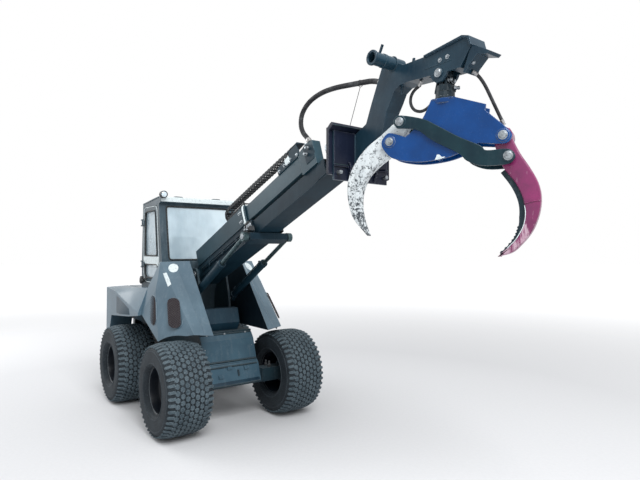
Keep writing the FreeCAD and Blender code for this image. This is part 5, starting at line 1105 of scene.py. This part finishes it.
# Boom head: tilt pin caps, weld beads round the lugs, and the rail head's bracket for the chain
head_trim = [weld([(2062, sign * 100.5, -139), (2224, sign * 100.5, -130)], 3.0) for sign in both]
head_trim += pair([(2120, -132), (2222, -132), (2222, -38), (2150, -30), (2120, -60)], 99, 105, 2.5)
head_trim += pair(rect(1150, -134, 1180, -34), 98, 101.5, 1)
piece("boom_head_plates", on_boom(together(*head_trim)), boom_paint, "boom_inner")
bracket = [beveled([(1702, 128), (2000, 128), (2008, 166), (1985, 236), (1905, 240), (1880, 200), (1720, 182),
                    (1702, 160)], -116, -108, 2),
           beveled([(1862, 222), (2002, 228), (2006, 238), (1862, 232)], -116, -44, 2),
           beveled([(1700, 128), (1712, 128), (1712, 182), (1700, 176)], -116, -44, 2),
           beveled([(2060, 20), (2150, 20), (2176, 60), (2166, 120), (2100, 158), (2060, 158)], -119, -113, 2)]
piece("chain_bracket", on_boom(together(*bracket)), boom_paint, "boom_inner")
tilt_cap = together(turned([(29, 1.0), (29, -4), (26, -7), (12, -7.5)], 36), bolt(18))
bracket_bolts = [(1725, -116, 150), (1800, -116, 158), (1890, -116, 160), (1975, -116, 150)]
head_pins = outside(tilt_cap, (2330, 132, -5))
head_pins += [standing(port, [(2070, -92, 158), (2100, -66, 160)]),
              facing(port, [(2120, -119, 118), (2092, -119, 84)], (0, -1, 0)),
              facing(bolt(15), bracket_bolts, (0, -1, 0))]
piece("boom_head_pins", on_boom(together(*head_pins)), zinc, "boom_inner")
pale_block = beveled(rounded(rect(1828, 138, 1884, 190), 10), -128, -115, 3)
piece("chain_pale_block", on_boom(pale_block), pale_plate, "boom_inner")


# Drag chain: moulded black links, each a pair of waisted side plates joined by two cross bars. The
# lower run and the bend lie on the outer rail; the upper run is carried by the inner rail's bracket.
chain_black = painted("chain_black", (0.006, 0.009, 0.012), (0.003, 0.005, 0.007), dust=0.25, chips=0.1, rough=0.5,
                      dust_colour=(0.10, 0.13, 0.15))


def chain_links(centres, turns, pitch=43.0):
    """A link at each centre (along, rise) turned by its angle in the boom's upright plane: corner =
    centre + u (cos, sin) + v (-sin, cos), for side plates, bars and hinge bosses drawn once in (u, v)."""
    plate = rounded(np.array([(-24, -10), (-15, -17), (11, -17), (16, -12), (24, -12), (24, 12), (16, 12), (11, 17),
                              (-15, 17), (-24, 10)]), 3, 3)
    shapes = pair(plate, 25, 32, 1.2)
    for low in (13.0, -17.0):
        shapes.append(beveled(rect(-13, low, 1, low + 4), -30, 30, 1.0))
    shapes.append(beveled(rect(-15, -4, 6, 4), -2, 2, 0.8))
    shapes += outside(turned([(6, 0.5), (6, -1.5), (4, -2.2)], 12), (19, 32, 0))
    points, groups = together(*shapes)
    points = points * [pitch / 43.0, 1, 1]
    cos, sin = np.cos(turns)[:, None], np.sin(turns)[:, None]
    placed = np.stack([centres[:, :1] + cos * points[None, :, 0] - sin * points[None, :, 2],
                       np.broadcast_to(-80 + points[None, :, 1], (len(turns), len(points))),
                       centres[:, 1:] + sin * points[None, :, 0] + cos * points[None, :, 2]], -1).reshape(-1, 3)
    offset = np.arange(len(turns))[:, None, None] * len(points)
    return placed, [(faces[None] + offset).reshape(-1, faces.shape[1]) for faces in groups]


lower_run = np.stack([np.arange(857, 1140, 43.0), np.full(7, 164.2)], 1)
bend_turn = np.radians([-118, -153, -188, -223])
bend = np.stack([830 + 44 * np.cos(bend_turn + 0.1), 207 + 44 * np.sin(bend_turn + 0.1)], 1)
upper_run = np.stack([np.linspace(858, 1880, 25), 251 - 26 * np.linspace(0, 1, 25) ** 1.3], 1)
lower_links = chain_links(np.vstack([lower_run, bend]), np.concatenate([np.zeros(7), bend_turn - np.pi / 2]))
piece("chain_lower", on_boom(lower_links), chain_black, "boom", ("drag_chain",))
upper_links = chain_links(upper_run, np.full(25, -0.024))
piece("chain_upper", on_boom(upper_links), chain_black, "boom_inner")


# Lift and tilt cylinders: painted barrels with a turned gland and port bosses, and ground rods that
# have dulled. Each eye is held by a headed pin.
rod_steel = Finish("rod_steel", Metallic=0.9)
rod_place = rod_steel.place()
rod_dirt = rod_steel.noise(34, 6, 0.65, rod_place)
rod_dull = rod_steel.ramp(rod_dirt, 0.38, 0.7)
rod_steel.feed("Base Color", rod_steel.mix(rod_dull, (0.085, 0.130, 0.140), (0.025, 0.045, 0.052)))
rod_steel.feed("Roughness", 0.22 + 0.35 * rod_dirt)
rod_steel.relief(rod_dirt, 0.0004, 0.4)
rod_steel.cover("lift_rods", "tilt_rod")
lift_base, lift_slope = np.array([-0.95057, 0.0, 1.096]), math.radians(29.39)


def on_lift(shape):
    """Puts a shape in place that is drawn in millimetres along the lift cylinders, across the machine
    and above their line."""
    points, groups = shape
    cos, sin = math.cos(lift_slope), math.sin(lift_slope)
    return lift_base + points @ (np.array([[cos, 0, sin], [0, 1, 0], [-sin, 0, cos]]) / 1000), groups


gland = turned([(35.5, -684), (37, -688), (37, -718), (34, -724), (20.5, -724.5), (20.5, -690)], 40, closed=True)
foot_ring = turned([(33.5, -40), (38, -46), (38, -60), (33.5, -66)], 32, closed=True)
port_boss = standing(together(turned([(15, 3), (15, -10), (13, -12)], 20),
                              turned([(11, -11), (11, -24), (8, -27)], 6)), [(0, -90, 32), (0, -650, 32)])
bore_tube = tube(smooth_line([(0, -112, 58), (0, -160, 48), (0, -560, 44), (0, -630, 46), (0, -650, 58)], 6), 6, 10)
barrel_trim = together(gland, foot_ring, port_boss, bore_tube)
trims = []
for sign in both:
    points, groups = barrel_trim
    trims.append(on_lift((np.stack([-points[:, 1], sign * 212 + points[:, 0], points[:, 2]], 1), groups)))
lift_trim = together(*trims)
piece("lift_barrel_trim", (lift_trim[0], outward(*lift_trim)), boom_paint, "lift_barrels")
eye_cap = together(turned([(24, 1.0), (24, -4), (21, -7), (10, -7.5)], 32), bolt(16))
lift_reach = math.hypot(0.07643 + 0.95057, 1.674 - 1.096) * 1000
base_caps = [facing(eye_cap, [(0, side * 212 + sign * 20, 0)], (0, sign, 0)) for side in both for sign in both]
piece("lift_base_caps", on_lift(together(*base_caps)), zinc, "lift_barrels")
piece("lift_eye_caps", on_lift(together(*outside(eye_cap, (lift_reach, 232, 0)))), zinc, "lift_rods")


# Quick-attach plate and jib: a folded plate on the tilt pin, and a flame-cut jib that hooks on it,
# with a bent post, a beam under a cap plate, a socket tube and the nose where the hoses come out.
plate_paint = painted("plate_paint", (0.0065, 0.010, 0.024), (0.004, 0.006, 0.015), dust=0.14, chips=0.5, rough=0.36,
                      chip_colour=(0.26, 0.28, 0.34), dust_colour=(0.14, 0.16, 0.22))
plate_paint.cover("quick_plate")
jib_paint = painted("jib_paint", (0.014, 0.040, 0.062), (0.007, 0.024, 0.042), dust=0.08, chips=0.6, rough=0.3,
                    chip_colour=(0.16, 0.22, 0.27), cloud_scale=5.5, spots=0.66)
jib_paint.cover("jib")


def from_tilt(shape):
    """Puts a shape in place that is drawn in millimetres from the tilt pivot."""
    points, groups = shape
    return tilt_pivot + points / 1000, groups


plate_edges = [beveled([(171, 66), (177, 66), (213, 92), (204, 110), (196, 112), (171, 86)], -262, 262, 2.5),
               beveled(rect(150, -209, 173, -197), -258, 258, 2.5)]
plate_edges += pair(rect(150, -205, 176, 84), 258, 264, 2)
piece("plate_edges", from_tilt(together(*plate_edges)), plate_paint, "carriage")
teeth = [(185, -120), (206, -128), (222, -160), (214, -170), (220, -182), (208, -190), (212, -204), (200, -210),
         (202, -226), (185, -240)]
tool_ribs = [beveled(rect(185, -158, 197, -146), -232, 232, 2)]
tool_ribs += [beveled(teeth, y - 7, y + 7, 2) for y in (112, -112)]
tool_ribs += [tube([(192, 150, -150), (262, 150, -158)], 7, 14)]
piece("tool_plate_ribs", from_tilt(together(*tool_ribs)), plate_paint, "carriage")
bright_edge = [weld([(214.5, -258, 93), (214.5, 258, 93)], 2.2, 40),
               weld([(198, -230, -146), (198, 230, -146)], 1.8, 40)]
piece("plate_worn_edges", from_tilt(together(*bright_edge)), rod_steel, "carriage")
tool_face = np.array([(185.0, y, z) for y, z in ((-229, -242), (229, -242), (229, 66), (-229, 66))])
piece("tool_plate_face", from_tilt(lofted([tool_face, tool_face + [1.6, 0, 0]])), plate_paint, "carriage")
lock_pins = facing(turned([(13, 1), (13, -34), (10, -38)], 24), [(185, -198, -196), (185, 198, -196)], (1, 0, 0))
piece("tool_plate_pins", from_tilt(lock_pins), zinc, "carriage")
hang_x, hang_z = 869.0, 273.0
post_welds = [weld([(187, sign * 56, -180), (187, sign * 56, 56)], 4.5) for sign in both]
post_welds += [weld([(hang_x - 94, sign * 58, hang_z + 112), (hang_x + 158, sign * 58, hang_z + 137)], 3.2)
               for sign in both]
socket_x, socket_z = 525, 422
ring_turn = np.linspace(0, 2 * np.pi, 33)
socket_seam = np.stack([socket_x + 41 * np.cos(ring_turn), np.full(33, -57.0), socket_z + 41 * np.sin(ring_turn)], 1)
post_welds += [weld(socket_seam, 3.4)]
socket_lip = facing(turned([(42, 0), (44, -3), (44, -14), (42, -17), (31, -17), (31, 0)], 40, closed=True),
                    [(socket_x, -211, socket_z)], (0, -1, 0))
sleeve_band = facing(turned([(39, 0), (41, -2), (41, -22), (39, -24)], 40, closed=True),
                     [(socket_x, -120, socket_z)], (0, -1, 0))
piece("jib_welds", from_tilt(together(*post_welds, socket_lip, sleeve_band)), jib_paint, "carriage")
cheek_ring = turned([(28, 0.5), (28, -3), (26, -5), (17, -5), (17, 0.5)], 36, closed=True)
cheeks = outside(cheek_ring, (hang_x, 55, hang_z))
cheeks += pair([(hang_x - 88, hang_z + 44), (hang_x + 84, hang_z + 44), (hang_x + 84, hang_z + 50),
                (hang_x - 88, hang_z + 50)], 53, 57, 1)
piece("jib_cheek_rings", from_tilt(together(*cheeks)), jib_paint, "carriage")
# A thin wire stay ties the hose loop to the plate's lip
stay = [tube([(200, -110, 108), (184, -7, 384)], 2.0, 8),
        facing(turned(rect(20.5, -2, 23, 2), 28, closed=True),
               [(184, -7, 405)], (1, 0.05, -0.15), (0, 1, 0))]
piece("hose_stay", from_tilt(together(*stay)), seal_rubber, "carriage")
beam_fittings = [facing(port, [(hang_x + 190, -30, hang_z + 20)], (0.6, 0, -0.8), (0, 1, 0))]
beam_fittings += outside(bolt(15), (hang_x + 60, 55, hang_z + 70), (hang_x + 10, 55, hang_z + 66))
piece("jib_fittings", from_tilt(together(*beam_fittings)), zinc, "carriage")


# Hanger: a cast block that swings on the jib's pin, with a rotator under it that turns the grapple.
# Its motor case, flange bolts and two hose ports are dark iron and zinc.
iron_dark = painted("iron_dark", (0.012, 0.026, 0.036), (0.007, 0.016, 0.024), dust=0.3, chips=0.5, rough=0.42)
iron_dark.cover("hanger")
hanger_pin = np.array([1.93363, 0.0, 2.5187])


def under_hanger(shape, yaw=0.0):
    """Puts a shape in place that is drawn in millimetres from the hanger's pin, in its own upright
    plane, which is turned by yaw about the vertical."""
    points, groups = shape
    cos, sin = math.cos(yaw), math.sin(yaw)
    return hanger_pin + points @ (np.array([[cos, sin, 0], [-sin, cos, 0], [0, 0, 1]]) / 1000), groups


rotator = [facing(turned([(44, 0), (47, -3), (47, -34), (44, -38)], 40), [(0, 0, -62)], (0, 0, -1), (0, 1, 0)),
           facing(turned([(50, 0), (53, -2), (53, -12), (50, -14)], 40), [(0, 0, -126)], (0, 0, -1), (0, 1, 0))]
rib = [(-30, -30), (-12, -30), (-12, -96), (-46, -100), (-46, -90)]
far_rib = [(-x, z) for x, z in rib][::-1]
rotator += [beveled(outline, y - 5, y + 5, 1.5) for outline in (rib, far_rib) for y in (-30, 30)]
piece("rotator_case", under_hanger(together(*rotator)), iron_dark, "hanger")
ring_spots = [(44 * math.cos(a), 44 * math.sin(a), -126) for a in np.linspace(0, 2 * np.pi, 8, endpoint=False) + 0.2]
pin_head = together(turned([(19, 0.5), (19, -4), (16.5, -7.5), (3, -8.5)], 36),
                    turned([(24, 0.5), (24, -1.8), (22, -2.4)], 36))
hanger_steel = outside(pin_head, (0, 60, 0))
hanger_steel += [standing(bolt(11), ring_spots), facing(port, [(26, -14, -40), (26, 16, -44)], (1, 0, 0)),
                 facing(port, [(44, 20, -80)], (0.8, 0.6, 0), (0, 0, 1))]
piece("hanger_steel", under_hanger(together(*hanger_steel)), zinc, "hanger")


# Grapple: two flame-cut cheek plates in gloss blue, with a tine between them at each end. Headed pins
# carry the tines, and the S-shaped link plates outside make them close together.
grapple_blue = painted("grapple_blue", (0.0015, 0.052, 0.215), (0.0012, 0.036, 0.150), dust=0.04, chips=0.6,
                       rough=0.26, coat=0.12, chip_colour=(0.42, 0.50, 0.55), dust_colour=(0.10, 0.20, 0.34),
                       cloud_scale=6.0, spots=0.72)
link_green = painted("link_green", (0.006, 0.028, 0.038), (0.003, 0.016, 0.026), dust=0.06, chips=0.6, rough=0.3,
                     chip_colour=(0.12, 0.18, 0.24), cloud_scale=7.0, spots=0.68)
grapple_yaw = math.radians(24)


def flowing(outline, sharp=(), steps=5):
    """A closed outline through all its corners: each run between two sharp corners is smooth_line's."""
    outline = [tuple(p) for p in outline]
    sharp = sorted(sharp) or [0]
    line = []
    for first, last in zip(sharp, sharp[1:] + [sharp[0] + len(outline)]):
        run = [outline[k % len(outline)] for k in range(first, last + 1)]
        line.append(smooth_line(run, steps)[:-1] if len(run) > 2 else np.array(run[:1], float))
    return np.vstack(line)


def in_grapple(*shapes):
    """Puts shapes in place that are drawn in millimetres from the hanger's pin, in the grapple's plane."""
    return under_hanger(together(*shapes), grapple_yaw)


left_pin, right_pin, left_crank, right_crank = (-301.0, -347.0), (308.0, -375.0), (-235.0, -245.0), (335.0, -485.0)
on_pin = lambda pin, out: (pin[0], out, pin[1])
head_line = [(-62, -142), (60, -142), (226, -205), (222, -236), (316, -328), (350, -372), (338, -408), (300, -418),
             (189, -404), (87, -446), (-9, -469), (-148, -474), (-281, -443), (-340, -385), (-350, -340), (-320, -302),
             (-285, -300), (-210, -329), (-165, -296), (-112, -240)]
head_curve = flowing(head_line, (0, 1, 2, 3, 8, 17))
head_parts = pair(head_curve, 45, 57, 2.2)
pin_boss = turned([(33, 0.5), (33, -3), (30, -5), (18, -5)], 36)
head_parts += outside(pin_boss, on_pin(left_pin, 57), on_pin(right_pin, 57))
head_parts += [facing(turned([(66, 0), (68, -2), (68, -20), (66, -24)], 48), [(0, 0, -142)], (0, 0, -1), (0, 1, 0)),
               beveled([(-100, -250), (150, -250), (120, -262), (-80, -262)], -45, 45, 2),
               tube([(-40, -45, -452), (-40, 45, -452)], 12, 20), tube([(110, -45, -425), (110, 45, -425)], 12, 20)]
head_parts += [weld([(-56, sign * 58, -144), (56, sign * 58, -144)], 3.0) for sign in both]
piece("grapple_cheeks", in_grapple(*head_parts), grapple_blue, "grapple", ("grapple_head",), 28)
# Bare steel shows where logs have rubbed the lower edge
worn = flowing([(-44, -471), (-20, -470), (8, -463), (12, -458), (-6, -458), (-16, -446), (-30, -444), (-36, -456)],
               (0,), 4)
piece("grapple_worn_spot", in_grapple(*pair(worn, 56, 57.5, 0.5)), pale_plate, "grapple")
tine_heads = outside(pin_head, on_pin(left_pin, 62), on_pin(right_pin, 62))
tine_heads += outside(turned([(20, 0.5), (20, -6)], 28), on_pin(left_pin, 57), on_pin(right_pin, 57))
piece("tine_pin_heads", in_grapple(*tine_heads), zinc, "grapple")
link_line = [(-268, -258), (-256, -220), (-227, -210), (-102, -245), (-25, -290), (87, -361), (199, -420), (229, -447),
             (335, -450), (368, -485), (350, -518), (312, -528), (204, -524), (128, -492), (87, -450), (-52, -368),
             (-130, -305), (-215, -284), (-250, -280)]
link_parts = pair(flowing(link_line, (), 4), 62, 74, 2.2)
link_parts += [tube([on_pin(left_crank, -76), on_pin(left_crank, 76)], 18, 24)]
link_parts += outside(turned([(34, 0.5), (34, -5), (31, -7), (19, -7)], 36), on_pin(left_crank, 74))
link_parts += outside(turned([(28, 0.5), (28, -3), (26, -4), (18, -4)], 36), on_pin(right_crank, 74))
piece("link_plates", in_grapple(*link_parts), link_green, "cross_link", ("cross_link",), 28)
link_heads = outside(pin_head, on_pin(left_crank, 80), on_pin(right_crank, 77))
piece("link_pin_heads", in_grapple(*link_heads), zinc, "cross_link")


# Tines: thick forged arms with rounded edges, one white and badly chipped, the other magenta with a
# weld half way, a dark inner strip with teeth at the tip, partly a wear strip and partly painted shade
# on the inner face, and bare metal towards the point
tine_white = Finish("tine_white", Roughness=0.45)
white_place = tine_white.place()
height = tine_white.node("ShaderNodeSeparateXYZ", {}, {0: white_place}, "Z")
low_wear = tine_white.ramp(height, 2.30, 1.62)
white_cloud = tine_white.noise(9, 5, 0.6, white_place)
white_grain = tine_white.noise(44, 9, 0.8, white_place)
white_chip = tine_white.ramp(white_grain + low_wear * 0.13 + tine_white.edges(0.008) * 0.5, 0.575, 0.615)
white_dull = tine_white.mix(tine_white.ramp(white_cloud, 0.42, 0.75), (0.66, 0.71, 0.73), (0.44, 0.49, 0.52))
tine_white.feed("Base Color", tine_white.mix(white_chip, white_dull, (0.035, 0.045, 0.055)))
tine_white.feed("Roughness", 0.34 + 0.3 * white_chip)
tine_white.relief(white_grain * 0.3 - white_chip * 0.7, 0.0010, 0.5, 0.003)
tine_magenta = Finish("tine_magenta", Roughness=0.34, Coat_Weight=0.25)
rose_place = tine_magenta.place()
rose_height = tine_magenta.node("ShaderNodeSeparateXYZ", {}, {0: rose_place}, "Z")
rose_cloud = tine_magenta.noise(8, 5, 0.6, rose_place)
rose_grain = tine_magenta.noise(48, 8, 0.75, rose_place)
rose_run = tine_magenta.node("ShaderNodeMapping", {}, {"Vector": rose_place, "Scale": (1.0, 1.0, 0.22)})
rose_drag = tine_magenta.noise(36, 5, 0.7, rose_run)
rose_bare = tine_magenta.ramp(rose_drag + tine_magenta.ramp(rose_height, 1.80, 1.55) * 0.24, 0.62, 0.74)
rose_spot = tine_magenta.ramp(rose_grain, 0.69, 0.72)
rose_dark = tine_magenta.ramp(rose_cloud, 0.35, 0.7)
rose_paint = tine_magenta.mix(rose_dark, (0.215, 0.012, 0.100), (0.125, 0.010, 0.068))
rose_paint = tine_magenta.mix(rose_spot * 0.8, rose_paint, (0.06, 0.02, 0.05))
tine_magenta.feed("Base Color", tine_magenta.mix(rose_bare * 0.75, rose_paint, (0.58, 0.42, 0.50)))
tine_magenta.feed("Roughness", 0.28 + 0.25 * rose_bare + 0.15 * rose_grain)
tine_magenta.relief(rose_grain, 0.0008, 0.35, 0.003)
left_line = [(-205, -225), (-262, -220), (-369, -301), (-457, -362), (-528, -444), (-570, -530), (-580, -610),
             (-567, -700), (-535, -780), (-452, -873), (-490, -758), (-498, -658), (-480, -582), (-445, -520),
             (-382, -465), (-303, -415), (-250, -380), (-230, -330), (-205, -265)]
right_line = [(285, -335), (335, -335), (352, -400), (385, -470), (430, -545), (466, -620), (480, -695), (470, -780),
              (438, -863), (386, -930), (338, -972), (272, -990), (352, -915), (390, -850), (404, -775), (396, -700),
              (362, -620), (300, -530), (268, -440), (262, -380)]


def forged(outline, half):
    """A tine: its outline at seven levels across, drawn in towards both faces along a quarter circle."""
    lean = np.linspace(0, np.pi / 2, 4)
    levels = [(-half + 9 * (1 - np.sin(a)), 9 * (1 - np.cos(a))) for a in lean[::-1]]
    edge = np.roll(outline, -1, 0) - np.roll(outline, 1, 0)
    edge /= np.linalg.norm(edge, axis=1)[:, None]
    turning = np.sum(outline[:, 0] * np.roll(outline[:, 1], -1) - outline[:, 1] * np.roll(outline[:, 0], -1))
    normal = np.stack([edge[:, 1], -edge[:, 0]], 1) * np.sign(turning)
    rings = [np.insert(outline - normal * inset, 1, level, axis=1) for level, inset in levels]
    rings += [np.insert(outline - normal * inset, 1, -level, axis=1) for level, inset in levels[::-1]]
    return lofted(rings)


def hub(pin, radius, half):
    """A boss round a pin, with 2 mm off both its edges."""
    levels = (-half, 2 - half, half - 2, half)
    return tube([on_pin(pin, level) for level in levels], [radius - 2, radius, radius, radius - 2], 40)


left_tine = in_grapple(forged(flowing(left_line, (0, 1, 9), 4), 33), hub(left_pin, 44, 43), hub(left_crank, 30, 60))
piece("tine_white_arm", left_tine, tine_white, "tine_left", ("tine_left",), 30)
right_tine = in_grapple(forged(flowing(right_line, (0, 1, 11), 4), 33), hub(right_pin, 44, 43),
                        hub(right_crank, 30, 60))
piece("tine_magenta_arm", right_tine, tine_magenta, "tine_right", ("tine_right",), 30)
# A dark strip follows the right tine's inner edge from the tip up; its first part is toothed. It is
# partly a wear strip and partly painted shade on the tine's inner face
inner = smooth_line(right_line[11:18], 12)
slope = np.gradient(inner, axis=0)
slope /= np.linalg.norm(slope, axis=1)[:, None]
out = np.stack([-slope[:, 1], slope[:, 0]], 1)
out *= np.sign(np.sum(out * (np.mean(inner, 0) - [100, 0] - inner), 1).mean())
run = np.arange(len(inner))
depth = np.clip(run / len(inner) * 60, 4.0, 27.0)
depth += np.where(run < 26, 7.0 * np.abs(((run / 3.0) % 1) - 0.5) * 2 * (run > 1), 0.0)
top, base = inner + out * depth[:, None], inner - out * 6
strip = [np.array([[b[0], -20, b[1]], [b[0], 20, b[1]], [q[0], 17, q[1]], [q[0], -17, q[1]]])
         for b, q in zip(base[2:-2], top[2:-2])]
piece("wear_strip_and_shade_right", under_hanger(lofted(strip), grapple_yaw), iron_dark, "tine_right", crease=20)
seam_line = [(404, -33.8, -724), (440, -33.8, -716), (473, -33.8, -712), (477, -30, -712), (477, 30, -712),
             (473, 33.8, -712), (440, 33.8, -716), (404, 33.8, -724)]
piece("tine_weld", under_hanger(weld(seam_line, 2.6), grapple_yaw), tine_magenta, "tine_right")
edge_line = smooth_line([(404, -735), (408, -775), (398, -835), (364, -900), (320, -948)], 8)
edge_wear = [weld(np.insert(edge_line, 1, sign * 32.6, axis=1), 1.8, 60) for sign in both]
piece("tine_edge_wear", in_grapple(*edge_wear), pale_plate, "tine_right")
